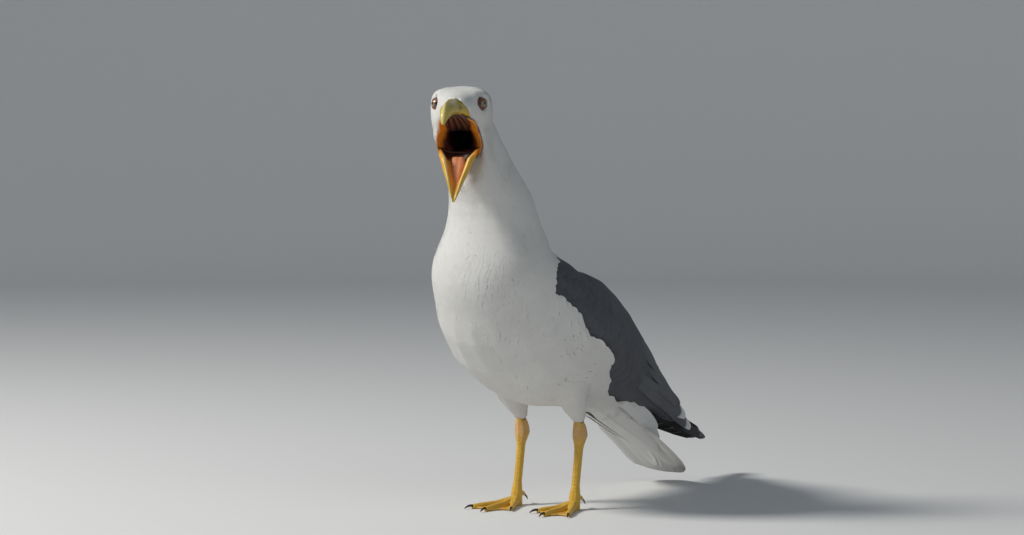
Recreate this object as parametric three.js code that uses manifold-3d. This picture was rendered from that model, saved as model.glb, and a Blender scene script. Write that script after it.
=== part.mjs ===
// Life-size yellow-legged gull, standing and calling with its bill wide open.
// Millimetres. +Z is up, the body faces -Y, +X is the bird's left, and the floor is Z = 0.
// Pieces are laid out from the point on the floor midway between the legs. The finished bird
// is then moved level, so that the origin lies under the middle of its length and width.
import * as THREE from "three";
import { mergeVertices } from "three/addons/utils/BufferGeometryUtils.js";
import Module from "manifold-3d";

const wasm = await Module();
wasm.setup();

// ---------------------------------------------------------------- driving dimensions
const GAP = 0.3; // clearance between neighbouring pieces
const EYE_HEIGHT = 365; // point midway between the eyes, above the floor
const HEAD_FORWARD = 133; // the same point, ahead of the legs
const HEAD_LEAN = -5; // head carried a little to the bird's right
const HEAD_YAW = 24; // head turned to the bird's left, degrees
const EYE_RADIUS = 6.2;
const BILL_ROOT = 31; // where the feathers end on the ridge of the bill, ahead of the eyes
const CULMEN = 55; // ridge of the bill, from the feathers to the hook
const GAPE_DROP = 58; // lower mandible below the upper one, degrees
const LINING = 2.4; // thickness of the mouth's lining
const RIM = 1.2; // how far the fleshy corners of the mouth stand out from the feathers
const LEG_SPACING = 62;
const ANKLE_HEIGHT = 69;
const HEEL_HEIGHT = 17; // where the shank ends and the foot begins
const FOOT_FORWARD = 4; // root of the toes, ahead of the legs' middle
const MIDDLE_TOE = 50;
const WEB_THICKNESS = 1.2;
const WEB_LIFT = 0.6; // the webs hang just clear of the floor
const WING_TIP_BACK = 292; // folded wing tips behind the legs
const TAIL_TIP_BACK = 236;
const REACH = 900; // larger than the bird, for the solids that cut it

const SIDES = { body: 20, wing: 14, head: 16, bill: 10, limb: 8, toe: 6 };

// ---------------------------------------------------------------- colours
const FEATHER_WHITE = 0xf2f2ef;
const MANTLE_GREY = 0x6f7078;
const PRIMARY_BLACK = 0x141416;
const BILL_YELLOW = 0xe2b93b;
const GAPE_ORANGE = 0xd9701f;
const THROAT_RED = 0x3a1410;
const TONGUE_PINK = 0xe08a6c;
const IRIS_AMBER = 0x9a7c3a;
const LEG_YELLOW = 0xd0a12c;
const CLAW_BLACK = 0x1c1a18;

const FEATHER_ROUGHNESS = 0.8;
const HORN_ROUGHNESS = 0.4;
const MOIST_ROUGHNESS = 0.15;
const SKIN_ROUGHNESS = 0.6;

// ---------------------------------------------------------------- the group and its pieces
const group = new THREE.Group();
const radians = THREE.MathUtils.degToRad;

// A point given as sideways (bird's left), forward and up.
const at = (side, forward, up) => new THREE.Vector3(side, -forward, up);

function addPiece(name, made, color, roughness) {
  const material = new THREE.MeshStandardMaterial({ color, roughness, metalness: 0 });
  const mesh = new THREE.Mesh(geometryOf(made), material);
  mesh.name = name;
  group.add(mesh);
}

// ---------------------------------------------------------------- lofted bodies
// A station is a rounded section: its centre (x, f, z), the direction it faces (pitch above
// the horizontal and yaw to the left, degrees), half width w, and heights t above and b below
// the centre. n is its squareness: 2 is an ellipse, more is boxier. roll leans its top over to
// the right, degrees.
function stationCurve(stations, pick) {
  return new THREE.CatmullRomCurve3(stations.map(pick), false, "catmullrom", 0.5);
}

function sectionAxes(pitch, yaw, roll) {
  const p = radians(pitch);
  const y = radians(yaw);
  const ahead = new THREE.Vector3(
    Math.sin(y) * Math.cos(p),
    -Math.cos(y) * Math.cos(p),
    Math.sin(p),
  );
  const left = new THREE.Vector3(Math.cos(y), Math.sin(y), 0);
  const dorsal = ahead.clone().cross(left);
  left.applyAxisAngle(ahead, radians(roll));
  dorsal.applyAxisAngle(ahead, radians(roll));
  return { left, dorsal };
}

function signedPower(value, power) {
  return Math.sign(value) * Math.abs(value) ** power;
}

function sectionRing(centre, size, turn, squareness, sides, swell) {
  const { left, dorsal } = sectionAxes(turn.x, turn.y, turn.z);
  const power = 2 / squareness;
  return Array.from({ length: sides }, (_, i) => {
    const angle = (2 * Math.PI * i) / sides;
    const across = signedPower(Math.cos(angle), power) * (size.x + swell);
    const height = Math.sin(angle) > 0 ? size.y + swell : size.z + swell;
    return centre
      .clone()
      .addScaledVector(left, across)
      .addScaledVector(dorsal, signedPower(Math.sin(angle), power) * height);
  });
}

// Closes a row of rings into one body, with a point at each end's centre.
function closeRings(rings) {
  const sides = rings[0].length;
  const middle = (ring) =>
    ring.reduce((sum, p) => sum.add(p), new THREE.Vector3()).divideScalar(sides);
  const points = [middle(rings[0]), ...rings.flat(), middle(rings.at(-1))];
  const index = [];
  const id = (ring, side) => 1 + ring * sides + (side % sides);
  for (let side = 0; side < sides; side++) {
    index.push(0, id(0, side + 1), id(0, side));
    index.push(points.length - 1, id(rings.length - 1, side), id(rings.length - 1, side + 1));
    for (let ring = 0; ring + 1 < rings.length; ring++) {
      index.push(id(ring, side), id(ring, side + 1), id(ring + 1, side));
      index.push(id(ring, side + 1), id(ring + 1, side + 1), id(ring + 1, side));
    }
  }
  return new THREE.BufferGeometry().setFromPoints(points).setIndex(index);
}

// A solid through the stations. swell grows it all round, ends included.
function loft(stations, { sides, steps }, swell = 0) {
  const full = stations.map((s) => ({ x: 0, yaw: 0, pitch: 0, roll: 0, n: 2, ...s }));
  const centres = stationCurve(full, (s) => at(s.x, s.f, s.z));
  const sizes = stationCurve(full, (s) => new THREE.Vector3(s.w, s.t, s.b));
  const turns = stationCurve(full, (s) => new THREE.Vector3(s.pitch, s.yaw, s.roll));
  const shapes = stationCurve(full, (s) => new THREE.Vector3(s.n, 0, 0));
  const rings = [];
  for (let i = 0; i <= steps; i++) {
    const u = i / steps;
    const centre = centres.getPoint(u);
    const outwards = i === 0 ? -1 : Math.floor(u);
    centre.addScaledVector(centres.getTangent(u), outwards * swell);
    const squareness = shapes.getPoint(u).x;
    rings.push(sectionRing(centre, sizes.getPoint(u), turns.getPoint(u), squareness, sides, swell));
  }
  return solid(closeRings(rings));
}

// ---------------------------------------------------------------- solids
// A closed geometry as a manifold solid, its faces turned outwards.
function solid(geometry) {
  const bare = geometry.clone();
  bare.deleteAttribute("normal");
  bare.deleteAttribute("uv");
  const merged = mergeVertices(bare, 1e-4);
  const triVerts = new Uint32Array(merged.index.array);
  const build = () =>
    new wasm.Manifold(
      new wasm.Mesh({ numProp: 3, vertProperties: merged.attributes.position.array, triVerts }),
    );
  const made = build();
  if (made.volume() >= 0) return made;
  for (let i = 0; i < triVerts.length; i += 3) {
    [triVerts[i + 1], triVerts[i + 2]] = [triVerts[i + 2], triVerts[i + 1]];
  }
  return build();
}

// The largest body of a solid as a geometry: a cut can leave slivers behind.
function geometryOf(made) {
  const bodies = made.decompose().sort((a, b) => b.volume() - a.volume());
  const mesh = bodies[0].getMesh();
  const points = new Float32Array(mesh.numVert * 3);
  for (let i = 0; i < mesh.numVert; i++) {
    points.set(mesh.vertProperties.subarray(i * mesh.numProp, i * mesh.numProp + 3), i * 3);
  }
  return new THREE.BufferGeometry()
    .setAttribute("position", new THREE.BufferAttribute(points, 3))
    .setIndex(new THREE.BufferAttribute(mesh.triVerts, 1));
}

const union = (solids) => solids.reduce((sum, one) => sum.add(one));
const without = (made, cutters) => cutters.reduce((rest, one) => rest.subtract(one), made);

// Everything on the far side of a plane, as a solid to cut with.
function halfSpace(point, normal) {
  const box = new THREE.BoxGeometry(REACH, REACH, REACH);
  const turn = new THREE.Quaternion().setFromUnitVectors(
    new THREE.Vector3(0, 0, 1),
    normal.clone().normalize(),
  );
  box.translate(0, 0, REACH / 2).applyQuaternion(turn).translate(point.x, point.y, point.z);
  return solid(box);
}

// Splits a solid by a plane, leaving the gap between its two halves: [ahead, behind].
function split(made, point, normal) {
  const along = normal.clone().normalize();
  const ahead = halfSpace(point.clone().addScaledVector(along, GAP / 2), along);
  const behind = halfSpace(point.clone().addScaledVector(along, -GAP / 2), along.clone().negate());
  return [made.intersect(ahead), made.intersect(behind)];
}

const aboveFloor = halfSpace(at(0, 0, 0), at(0, 0, 1));

// ---------------------------------------------------------------- paired pieces
const PAIR = [
  { name: "left", side: 1 },
  { name: "right", side: -1 },
];

// A left-hand row of stations, set `out` from the middle and mirrored for the right.
function onSide(side, stations, out = 0) {
  return stations.map((s) => ({
    ...s,
    x: side * ((s.x ?? 0) + out),
    yaw: side * (s.yaw ?? 0),
    roll: side * (s.roll ?? 0),
  }));
}

// ---------------------------------------------------------------- trunk and neck
// The trunk is an egg lying along the back; the neck is a column rising out of its front.
const TRUNK = [
  { f: -150, z: 78, w: 14, t: 8, b: 9, pitch: 30 },
  { f: -112, z: 97, w: 34, t: 22, b: 24, pitch: 31 },
  { f: -62, z: 124, w: 54, t: 40, b: 43, pitch: 32 },
  { f: -12, z: 155, w: 68, t: 46, b: 70, pitch: 33 },
  { f: 30, z: 184, w: 74, t: 42, b: 84, pitch: 36 },
  { f: 62, z: 208, w: 71, t: 36, b: 78, pitch: 42 },
  { f: 86, z: 226, w: 58, t: 28, b: 62, pitch: 48 },
  { f: 99, z: 237, w: 36, t: 18, b: 40, pitch: 50 },
  { f: 107, z: 243, w: 8, t: 6, b: 10, pitch: 50 },
];
const NECK = [
  { f: 86, z: 190, w: 52, t: 40, b: 48, pitch: 88 },
  { f: 88, z: 218, w: 59, t: 45, b: 56, pitch: 88 },
  { f: 88, z: 242, w: 52, t: 42, b: 47, pitch: 86 },
  { f: 89, z: 261, w: 43.5, t: 37, b: 38, pitch: 84 },
  { f: 92, z: 280, w: 38.5, t: 34.5, b: 34, pitch: 82 },
  { x: -1, f: 100, z: 298, w: 33, t: 32, b: 32, pitch: 78, yaw: 6 },
  { x: -3, f: 111, z: 322, w: 27, t: 25, b: 27, pitch: 70, yaw: 14 },
  { x: -4, f: 121, z: 344, w: 23, t: 22, b: 22, pitch: 56, yaw: 20 },
];
const NECK_BASE = { point: at(0, 90, 262), normal: at(0, 0.24, 0.97) };
const NECK_TOP = { point: at(-3, 110, 331), normal: at(0.2, 0.65, 0.75) };

const bodySolid = (swell) =>
  union([
    loft(TRUNK, { sides: SIDES.body, steps: 11 }, swell),
    loft(NECK, { sides: SIDES.body, steps: 10 }, swell),
  ]);
const body = bodySolid(0);
const bodyRoom = bodySolid(GAP);

// ---------------------------------------------------------------- the head's own frame
// Pieces of the head are laid out in its own frame: a forward, s left and u up from the point
// midway between the eyes, then turned by the head's yaw.
const headOrigin = at(HEAD_LEAN, HEAD_FORWARD, EYE_HEIGHT);

function fromHead(a, s, u) {
  const turn = radians(HEAD_YAW);
  return new THREE.Vector3(
    headOrigin.x + a * Math.sin(turn) + s * Math.cos(turn),
    headOrigin.y - a * Math.cos(turn) + s * Math.sin(turn),
    headOrigin.z + u,
  );
}

// A station given in the head's frame.
function headStation({ a, s = 0, u, ...section }) {
  const p = fromHead(a, s, u);
  return { ...section, x: p.x, f: -p.y, z: p.z, yaw: HEAD_YAW };
}

// ---------------------------------------------------------------- skull and jaw
const SKULL = [
  { a: -36, u: -8, w: 8, t: 8, b: 9 },
  { a: -31, u: -7, w: 20, t: 16, b: 19, n: 2.1 },
  { a: -18, u: -6, w: 26, t: 21.5, b: 26, n: 2.3 },
  { a: -4, u: -6, w: 27.5, t: 21.5, b: 28, n: 2.6 },
  { a: 8, u: -5, w: 21, t: 18.5, b: 22, n: 2.5 },
  { a: 20, u: -3.5, w: 15.5, t: 13, b: 14, n: 2.2 },
  { a: BILL_ROOT, u: -2.5, w: 9.6, t: 6.8, b: 7.4 },
].map(headStation);

// Cheeks and chin, swung down with the lower mandible.
const JAW = [
  { a: -16, u: -8, w: 22, t: 14, b: 14, pitch: -70 },
  { a: -7, u: -22, w: 27, t: 18, b: 18, pitch: -72 },
  { a: -1, u: -38, w: 20.5, t: 15, b: 15, pitch: -68 },
  { a: 6, u: -53, w: 12, t: 9, b: 12, pitch: -64 },
  { a: 13, u: -66, w: 5.5, t: 4.5, b: 8, pitch: -60 },
].map(headStation);

const skullAndJaw = (swell) =>
  union([
    loft(SKULL, { sides: SIDES.head, steps: 10 }, swell),
    loft(JAW, { sides: SIDES.head, steps: 6 }, swell),
  ]);

// ---------------------------------------------------------------- eyes
const EYE = { ahead: 4.5, side: 18, up: 0 };

function eyeball(side, swell) {
  const ball = new THREE.SphereGeometry(EYE_RADIUS + swell, 10, 7);
  const place = fromHead(EYE.ahead, side * EYE.side, EYE.up);
  return solid(ball.translate(place.x, place.y, place.z));
}

// ---------------------------------------------------------------- bill
// The upper mandible runs straight out from the face, then curves down to its hook.
const alongBill = (share) => BILL_ROOT + share * CULMEN;
const UPPER_BILL = [
  { a: alongBill(-0.24), u: -5.6, w: 11, t: 7.4, b: 7.4, n: 1.8 },
  { a: alongBill(0), u: -3.6, w: 8.6, t: 7, b: 5.8, n: 1.8 },
  { a: alongBill(0.25), u: -4.4, w: 7, t: 6.4, b: 5.4, n: 1.8, pitch: -7 },
  { a: alongBill(0.5), u: -6, w: 5.9, t: 5.8, b: 4.8, n: 1.9, pitch: -12 },
  { a: alongBill(0.73), u: -8.6, w: 4.6, t: 5.2, b: 4.2, pitch: -24 },
  { a: alongBill(0.89), u: -13, w: 3.2, t: 3.8, b: 3, pitch: -48 },
  { a: alongBill(0.98), u: -18.2, w: 1.2, t: 1.4, b: 1.2, pitch: -68 },
].map(headStation);
const upperBill = (swell) => loft(UPPER_BILL, { sides: SIDES.bill, steps: 13 }, swell);

// The lower mandible is a keel-shaped loft with a slimmer loft, its trough, taken out of it.
const LOWER_BILL = [
  { a: 6, u: -39, w: 18.4, t: 6, b: 6, pitch: -GAPE_DROP },
  { a: 13, u: -49.5, w: 14.8, t: 6, b: 7, pitch: -GAPE_DROP },
  { a: 19, u: -59.5, w: 10.8, t: 5.5, b: 7.4, pitch: -GAPE_DROP },
  { a: 25, u: -69, w: 6.8, t: 4.8, b: 7, pitch: -GAPE_DROP },
  { a: 30, u: -77.5, w: 3.6, t: 3.2, b: 4, pitch: -GAPE_DROP },
  { a: 33.5, u: -83.5, w: 1.2, t: 1.2, b: 1.4, pitch: -GAPE_DROP },
].map(headStation);
const TROUGH = [
  { a: 8, u: -34, w: 16.4, t: 9, b: 8, pitch: -GAPE_DROP },
  { a: 16, u: -48, w: 12.6, t: 9, b: 7, pitch: -GAPE_DROP },
  { a: 22, u: -58, w: 8.8, t: 8, b: 6, pitch: -GAPE_DROP },
  { a: 27.5, u: -67, w: 5, t: 7, b: 4.6, pitch: -GAPE_DROP },
  { a: 32, u: -75, w: 1.6, t: 5, b: 2.6, pitch: -GAPE_DROP },
].map(headStation);
const lowerBill = (swell) => loft(LOWER_BILL, { sides: SIDES.bill, steps: 9 }, swell);
const trough = loft(TROUGH, { sides: SIDES.bill, steps: 8 });

// ---------------------------------------------------------------- mouth and tongue
// The open mouth is a funnel from the throat to well in front of the face.
const MOUTH = [
  { a: -22, u: -27, w: 4, t: 4, b: 4, pitch: -25 },
  { a: -14, u: -28, w: 10, t: 10, b: 11, pitch: -25 },
  { a: 0, u: -31, w: 16, t: 19, b: 22, pitch: -25, n: 2.2 },
  { a: 14, u: -36, w: 21.5, t: 28, b: 32, pitch: -27, n: 2.3 },
  { a: 44, u: -50, w: 33, t: 46, b: 48, pitch: -30, n: 2.3 },
].map(headStation);
const mouthFunnel = (swell) => loft(MOUTH, { sides: SIDES.wing, steps: 5 }, swell);

const TONGUE = [
  { a: 6.5, u: -46.5, w: 5.4, t: 1.6, b: 1.2, pitch: -GAPE_DROP },
  { a: 11.5, u: -53.5, w: 6, t: 2, b: 1.6, pitch: -GAPE_DROP },
  { a: 16.6, u: -61.5, w: 4.4, t: 1.8, b: 1.4, pitch: -GAPE_DROP },
  { a: 21.4, u: -69.5, w: 2.2, t: 1.3, b: 1, pitch: -GAPE_DROP },
  { a: 23.6, u: -73.5, w: 0.9, t: 0.7, b: 0.6, pitch: -GAPE_DROP },
].map(headStation);

// ---------------------------------------------------------------- back and wings
// The mantle is a saddle let into the back between the wings.
const MANTLE = [
  { f: 54, z: 224, w: 30, t: 8, b: 10, pitch: 36 },
  { f: 34, z: 216, w: 46, t: 13, b: 18, pitch: 30 },
  { f: -12, z: 196, w: 48, t: 20, b: 22, pitch: 28 },
  { f: -60, z: 170, w: 41, t: 24, b: 20, pitch: 30 },
  { f: -110, z: 138, w: 25, t: 18, b: 16, pitch: 32 },
  { f: -150, z: 112, w: 8, t: 6, b: 6, pitch: 31 },
];
const mantle = (swell) => loft(MANTLE, { sides: SIDES.wing, steps: 8 }, swell);

// Each folded wing is a long lens let into the flank, its top leaning in over the back.
const LEFT_WING = [
  { x: 54, f: 84, z: 210, w: 4, t: 6, b: 8, pitch: 44, yaw: 14, roll: 10 },
  { x: 56, f: 64, z: 204, w: 13, t: 20, b: 20, pitch: 38, yaw: 6, roll: 16 },
  { x: 56, f: 18, z: 182, w: 20, t: 41, b: 30, pitch: 34, roll: 24 },
  { x: 45, f: -42, z: 149, w: 21, t: 48, b: 34, pitch: 31, yaw: -7, roll: 22 },
  { x: 31, f: -104, z: 115, w: 17, t: 43, b: 30, pitch: 27, yaw: -9, roll: 16 },
  { x: 20, f: -165, z: 88, w: 10, t: 24, b: 15, pitch: 23, yaw: -8, roll: 12 },
  { x: 12, f: -218, z: 66, w: 5, t: 12, b: 9, pitch: 19, yaw: -6, roll: 8 },
  { x: 8, f: -245, z: 56, w: 2, t: 4, b: 4, pitch: 18, yaw: -4, roll: 4 },
];

// The black flight feathers run on from under the wing's end to its tip.
const LEFT_PRIMARIES = [
  { x: 18, f: -125, z: 84, w: 4, t: 8, b: 8, pitch: 18, yaw: -6 },
  { x: 14, f: -180, z: 70, w: 4.5, t: 11, b: 11, pitch: 17, yaw: -6 },
  { x: 9, f: -230, z: 56, w: 3.4, t: 10, b: 9, pitch: 16, yaw: -5 },
  { x: 6, f: -268, z: 46, w: 2.4, t: 6, b: 6, pitch: 15, yaw: -4 },
  { x: 4, f: -WING_TIP_BACK, z: 39, w: 1, t: 1.4, b: 1.4, pitch: 15, yaw: -3 },
];

// A paired loft, cut off at the bird's middle so that left and right stay clear.
function halfOfPair(side, stations, sweep, swell = 0) {
  const middle = halfSpace(at((side * GAP) / 2, 0, 0), at(side, 0, 0));
  return loft(onSide(side, stations), sweep, swell).intersect(middle);
}

const wing = (side, swell) =>
  halfOfPair(side, LEFT_WING, { sides: SIDES.wing, steps: 13 }, swell);
const primaries = (side, swell) =>
  halfOfPair(side, LEFT_PRIMARIES, { sides: SIDES.limb, steps: 8 }, swell);
const wingRooms = PAIR.map(({ side }) => wing(side, GAP));
const primaryRooms = PAIR.map(({ side }) => primaries(side, GAP));

// ---------------------------------------------------------------- tail
const TAIL = [
  { f: -96, z: 88, w: 26, t: 10, b: 18, pitch: 34 },
  { f: -130, z: 72, w: 27, t: 7, b: 12, pitch: 34 },
  { f: -165, z: 50, w: 25, t: 4, b: 6.5, pitch: 34, n: 2.2 },
  { f: -200, z: 27, w: 24, t: 2.4, b: 3.4, pitch: 34, n: 2.4 },
  { f: -222, z: 13.5, w: 20, t: 1.8, b: 2, pitch: 32, n: 2.4 },
  { f: -TAIL_TIP_BACK, z: 6, w: 9, t: 1, b: 1, pitch: 30, n: 2.2 },
];

// ---------------------------------------------------------------- legs
const THIGH = [
  { f: 22, z: 138, w: 24, t: 26, b: 24, pitch: 78 },
  { f: 14, z: 116, w: 20, t: 19, b: 19, pitch: 72 },
  { f: 4, z: 99, w: 13, t: 12, b: 13, pitch: 64 },
  { f: -4, z: 86, w: 7.6, t: 7.4, b: 7.6, pitch: 62 },
  { f: -7, z: 79, w: 5, t: 5, b: 5, pitch: 64 },
];
const SHANK = [
  { f: 1, z: 93, w: 4, t: 4.4, b: 4.4, pitch: 62 },
  { f: -5, z: 80, w: 5, t: 5.6, b: 5.6, pitch: 66 },
  { f: -8, z: ANKLE_HEIGHT, w: 6.8, t: 8, b: 7.6, pitch: 84 },
  { f: -6, z: 58, w: 5.2, t: 6.4, b: 5.8, pitch: 99 },
  { f: -2.5, z: 36, w: 4.8, t: 5.8, b: 5.4, pitch: 99 },
  { f: 1, z: 14, w: 5.2, t: 5.6, b: 5.6, pitch: 99 },
  { f: 2.5, z: -1, w: 5.6, t: 6, b: 6.5, pitch: 99 },
];

function legPart(side, stations, steps, swell = 0) {
  const placed = onSide(side, stations, LEG_SPACING / 2);
  return loft(placed, { sides: SIDES.limb, steps }, swell);
}

// ---------------------------------------------------------------- feet
// Toes: length to the claw, and angle out from the foot's own middle line.
const TOES = [
  { name: "inner", length: 0.76 * MIDDLE_TOE, angle: -27 },
  { name: "middle", length: MIDDLE_TOE, angle: 0 },
  { name: "outer", length: 0.92 * MIDDLE_TOE, angle: 26 },
];
const HALLUX = [
  { f: -2, z: 13, w: 2.6, t: 2.6, b: 2.6, pitch: 30 },
  { f: -8, z: 10.5, w: 2.3, t: 2.3, b: 2.3, pitch: 30 },
  { f: -12, z: 8.5, w: 1.5, t: 1.5, b: 1.5, pitch: 30 },
];
const HALLUX_CLAW = [
  { f: -11.4, z: 9, w: 1, t: 1, b: 1, pitch: 35 },
  { f: -15, z: 6.6, w: 0.9, t: 0.9, b: 0.9, pitch: 40 },
  { f: -17, z: 3.6, w: 0.35, t: 0.35, b: 0.35, pitch: 60 },
];
const toeSweep = { sides: SIDES.toe, steps: 4 };
const clawSweep = { sides: SIDES.toe, steps: 3 };

// Stations along a toe: d is the distance from the foot's root.
function toeStations(toe, side, sections) {
  const turn = radians(toe.angle);
  return sections.map(({ d, ...section }) => ({
    ...section,
    x: side * (LEG_SPACING / 2 + d * Math.sin(turn)),
    f: FOOT_FORWARD + d * Math.cos(turn),
    yaw: side * toe.angle,
  }));
}

function toeSolid(toe, side) {
  const end = toe.length;
  const sections = [
    { d: -3, z: 5, w: 3.5, t: 3.5, b: 6 },
    { d: 6, z: 5, w: 4.2, t: 4, b: 6 },
    { d: 0.45 * end, z: 3.4, w: 3, t: 2.8, b: 4.4 },
    { d: 0.8 * end, z: 3, w: 2.7, t: 2.4, b: 4 },
    { d: end, z: 2.8, w: 1.9, t: 1.6, b: 3.2 },
  ];
  return loft(toeStations(toe, side, sections), toeSweep);
}

function clawSolid(toe, side, swell) {
  const end = toe.length;
  const sections = [
    { d: end - 1, z: 3, w: 1.3, t: 1.4, b: 1.2, pitch: -5 },
    { d: end + 3.5, z: 3.1, w: 1.15, t: 1.2, b: 1.1, pitch: -22 },
    { d: end + 8, z: 1, w: 0.4, t: 0.4, b: 0.4, pitch: -45 },
  ];
  return loft(toeStations(toe, side, sections), clawSweep, swell);
}

// The webs: a flat sheet through the three toes, scalloped between their ends.
function webSolid(side) {
  const alongToe = (toe, share) => {
    const [point] = toeStations(toe, side, [{ d: share * toe.length }]);
    return new THREE.Vector2(point.x, -point.f);
  };
  const [inner, middle, outer] = TOES;
  const shape = new THREE.Shape([alongToe(inner, 0.02), alongToe(inner, 0.95)]);
  for (const [from, to] of [
    [inner, middle],
    [middle, outer],
  ]) {
    const dip = alongToe(from, 0.74).lerp(alongToe(to, 0.74), 0.5);
    const end = alongToe(to, 0.95);
    shape.quadraticCurveTo(dip.x, dip.y, end.x, end.y);
  }
  shape.closePath();
  const depth = WEB_THICKNESS;
  const sheet = new THREE.ExtrudeGeometry(shape, { depth, bevelEnabled: false, curveSegments: 2 });
  return solid(sheet.translate(0, 0, WEB_LIFT));
}

// ---------------------------------------------------------------- trunk, neck and mantle
const [aboveTrunk, trunkWhole] = split(body, NECK_BASE.point, NECK_BASE.normal);
const [neckTop, neckWhole] = split(aboveTrunk, NECK_TOP.point, NECK_TOP.normal);
const backRooms = [mantle(GAP), ...wingRooms];
const mouthRoom = mouthFunnel(LINING + GAP);

addPiece("trunk", without(trunkWhole, backRooms), FEATHER_WHITE, FEATHER_ROUGHNESS);
const neckRooms = [skullAndJaw(GAP), mouthRoom, ...backRooms];
addPiece("neck", without(neckWhole, neckRooms), FEATHER_WHITE, FEATHER_ROUGHNESS);
addPiece("mantle", without(mantle(0), wingRooms), MANTLE_GREY, FEATHER_ROUGHNESS);

// ---------------------------------------------------------------- head
const eyeRooms = PAIR.map(({ side }) => eyeball(side, GAP));
const billRooms = [upperBill(GAP), lowerBill(GAP)];
const head = without(skullAndJaw(0).add(neckTop), [mouthRoom, ...billRooms, ...eyeRooms]);
addPiece("head", head, FEATHER_WHITE, FEATHER_ROUGHNESS);
for (const { name, side } of PAIR) {
  addPiece(`eye_${name}`, eyeball(side, 0), IRIS_AMBER, MOIST_ROUGHNESS);
}

addPiece("bill_upper", upperBill(0), BILL_YELLOW, HORN_ROUGHNESS);
addPiece("bill_lower", lowerBill(0).subtract(trough), BILL_YELLOW, HORN_ROUGHNESS);

// The lining is the funnel's wall inside the face: orange flesh in front, dark throat behind.
const faceRoom = skullAndJaw(RIM);
const lining = without(mouthFunnel(LINING).intersect(faceRoom), [mouthFunnel(0), ...billRooms]);
const throatStart = { point: fromHead(-3, 0, -30), normal: fromHead(0.9, 0, -0.44).sub(headOrigin) };
const [gape, throat] = split(lining, throatStart.point, throatStart.normal);
addPiece("gape", gape, GAPE_ORANGE, MOIST_ROUGHNESS);
addPiece("throat", throat, THROAT_RED, MOIST_ROUGHNESS);

// The tongue lies on what is left of the lower mandible once its trough is out.
const tongueBed = lowerBill(GAP).subtract(trough);
const tongue = loft(TONGUE, { sides: SIDES.limb, steps: 7 }).subtract(tongueBed);
addPiece("tongue", tongue, TONGUE_PINK, MOIST_ROUGHNESS);

// ---------------------------------------------------------------- tail
const tailRooms = [bodyRoom, ...wingRooms, ...primaryRooms];
const tail = without(loft(TAIL, { sides: SIDES.wing, steps: 6 }), tailRooms);
addPiece("tail", tail, FEATHER_WHITE, FEATHER_ROUGHNESS);

// ---------------------------------------------------------------- wings, legs and feet
function addWing({ name, side }) {
  addPiece(`wing_${name}`, wing(side, 0), MANTLE_GREY, FEATHER_ROUGHNESS);
  const loose = without(primaries(side, 0), [...wingRooms, bodyRoom]);
  addPiece(`primaries_${name}`, loose, PRIMARY_BLACK, FEATHER_ROUGHNESS);
}

function addLeg({ name, side }) {
  const thigh = legPart(side, THIGH, 7).subtract(bodyRoom);
  addPiece(`thigh_${name}`, thigh, FEATHER_WHITE, FEATHER_ROUGHNESS);
  const lowerLeg = legPart(side, SHANK, 8).subtract(legPart(side, THIGH, 7, GAP));
  const [shank, heel] = split(lowerLeg, at(0, 0, HEEL_HEIGHT), at(0, 0, 1));
  addPiece(`shank_${name}`, shank, LEG_YELLOW, SKIN_ROUGHNESS);
  addFoot(name, side, heel);
}

function addFoot(name, side, heel) {
  const spurStations = onSide(side, HALLUX_CLAW, LEG_SPACING / 2);
  const hallux = loft(onSide(side, HALLUX, LEG_SPACING / 2), toeSweep);
  const toes = TOES.map((toe) => toeSolid(toe, side));
  const clawRooms = TOES.map((toe) => clawSolid(toe, side, GAP));
  clawRooms.push(loft(spurStations, clawSweep, GAP));
  const whole = union([heel, hallux, ...toes, webSolid(side)]).intersect(aboveFloor);
  addPiece(`foot_${name}`, without(whole, clawRooms), LEG_YELLOW, SKIN_ROUGHNESS);
  for (const toe of TOES) {
    const claw = clawSolid(toe, side, 0).intersect(aboveFloor);
    addPiece(`claw_${toe.name}_${name}`, claw, CLAW_BLACK, HORN_ROUGHNESS);
  }
  addPiece(`claw_hind_${name}`, loft(spurStations, clawSweep), CLAW_BLACK, HORN_ROUGHNESS);
}

PAIR.forEach(addWing);
PAIR.forEach(addLeg);

// The origin goes under the middle of the bird's length and width, on the floor.
const middle = new THREE.Box3().setFromObject(group).getCenter(new THREE.Vector3());
group.position.set(-middle.x, -middle.y, 0);

export default group;
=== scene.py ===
import math

import bmesh
import bpy
import numpy as np
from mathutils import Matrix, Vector
from mathutils.bvhtree import BVHTree


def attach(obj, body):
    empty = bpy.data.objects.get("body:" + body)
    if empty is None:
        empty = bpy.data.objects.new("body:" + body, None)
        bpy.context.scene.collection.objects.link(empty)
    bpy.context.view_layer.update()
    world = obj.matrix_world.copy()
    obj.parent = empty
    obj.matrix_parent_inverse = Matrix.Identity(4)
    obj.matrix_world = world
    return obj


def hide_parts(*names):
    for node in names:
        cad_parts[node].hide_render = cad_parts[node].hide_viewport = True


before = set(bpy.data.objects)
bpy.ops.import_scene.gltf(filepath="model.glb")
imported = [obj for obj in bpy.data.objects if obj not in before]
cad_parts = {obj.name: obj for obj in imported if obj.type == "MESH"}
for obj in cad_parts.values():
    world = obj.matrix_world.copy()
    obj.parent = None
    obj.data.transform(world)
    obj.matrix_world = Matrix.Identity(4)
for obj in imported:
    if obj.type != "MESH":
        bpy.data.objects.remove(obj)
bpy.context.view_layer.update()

# ---------------------------------------------------------------- skin
# A mounted bird begins with its own skin, in one piece from the face to the root of the tail,
# drawn over a carved body. It lies below the plumage by the depth of the feathers at each
# place, and it is white or grey where they are.
MM = 0.001
LEGS_AHEAD = 40.26  # the legs stand this far ahead of the frame's origin
HEAD_TURN = math.radians(24)  # to the bird's left
AHEAD = np.array([math.sin(HEAD_TURN), -math.cos(HEAD_TURN), 0.0])
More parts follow.
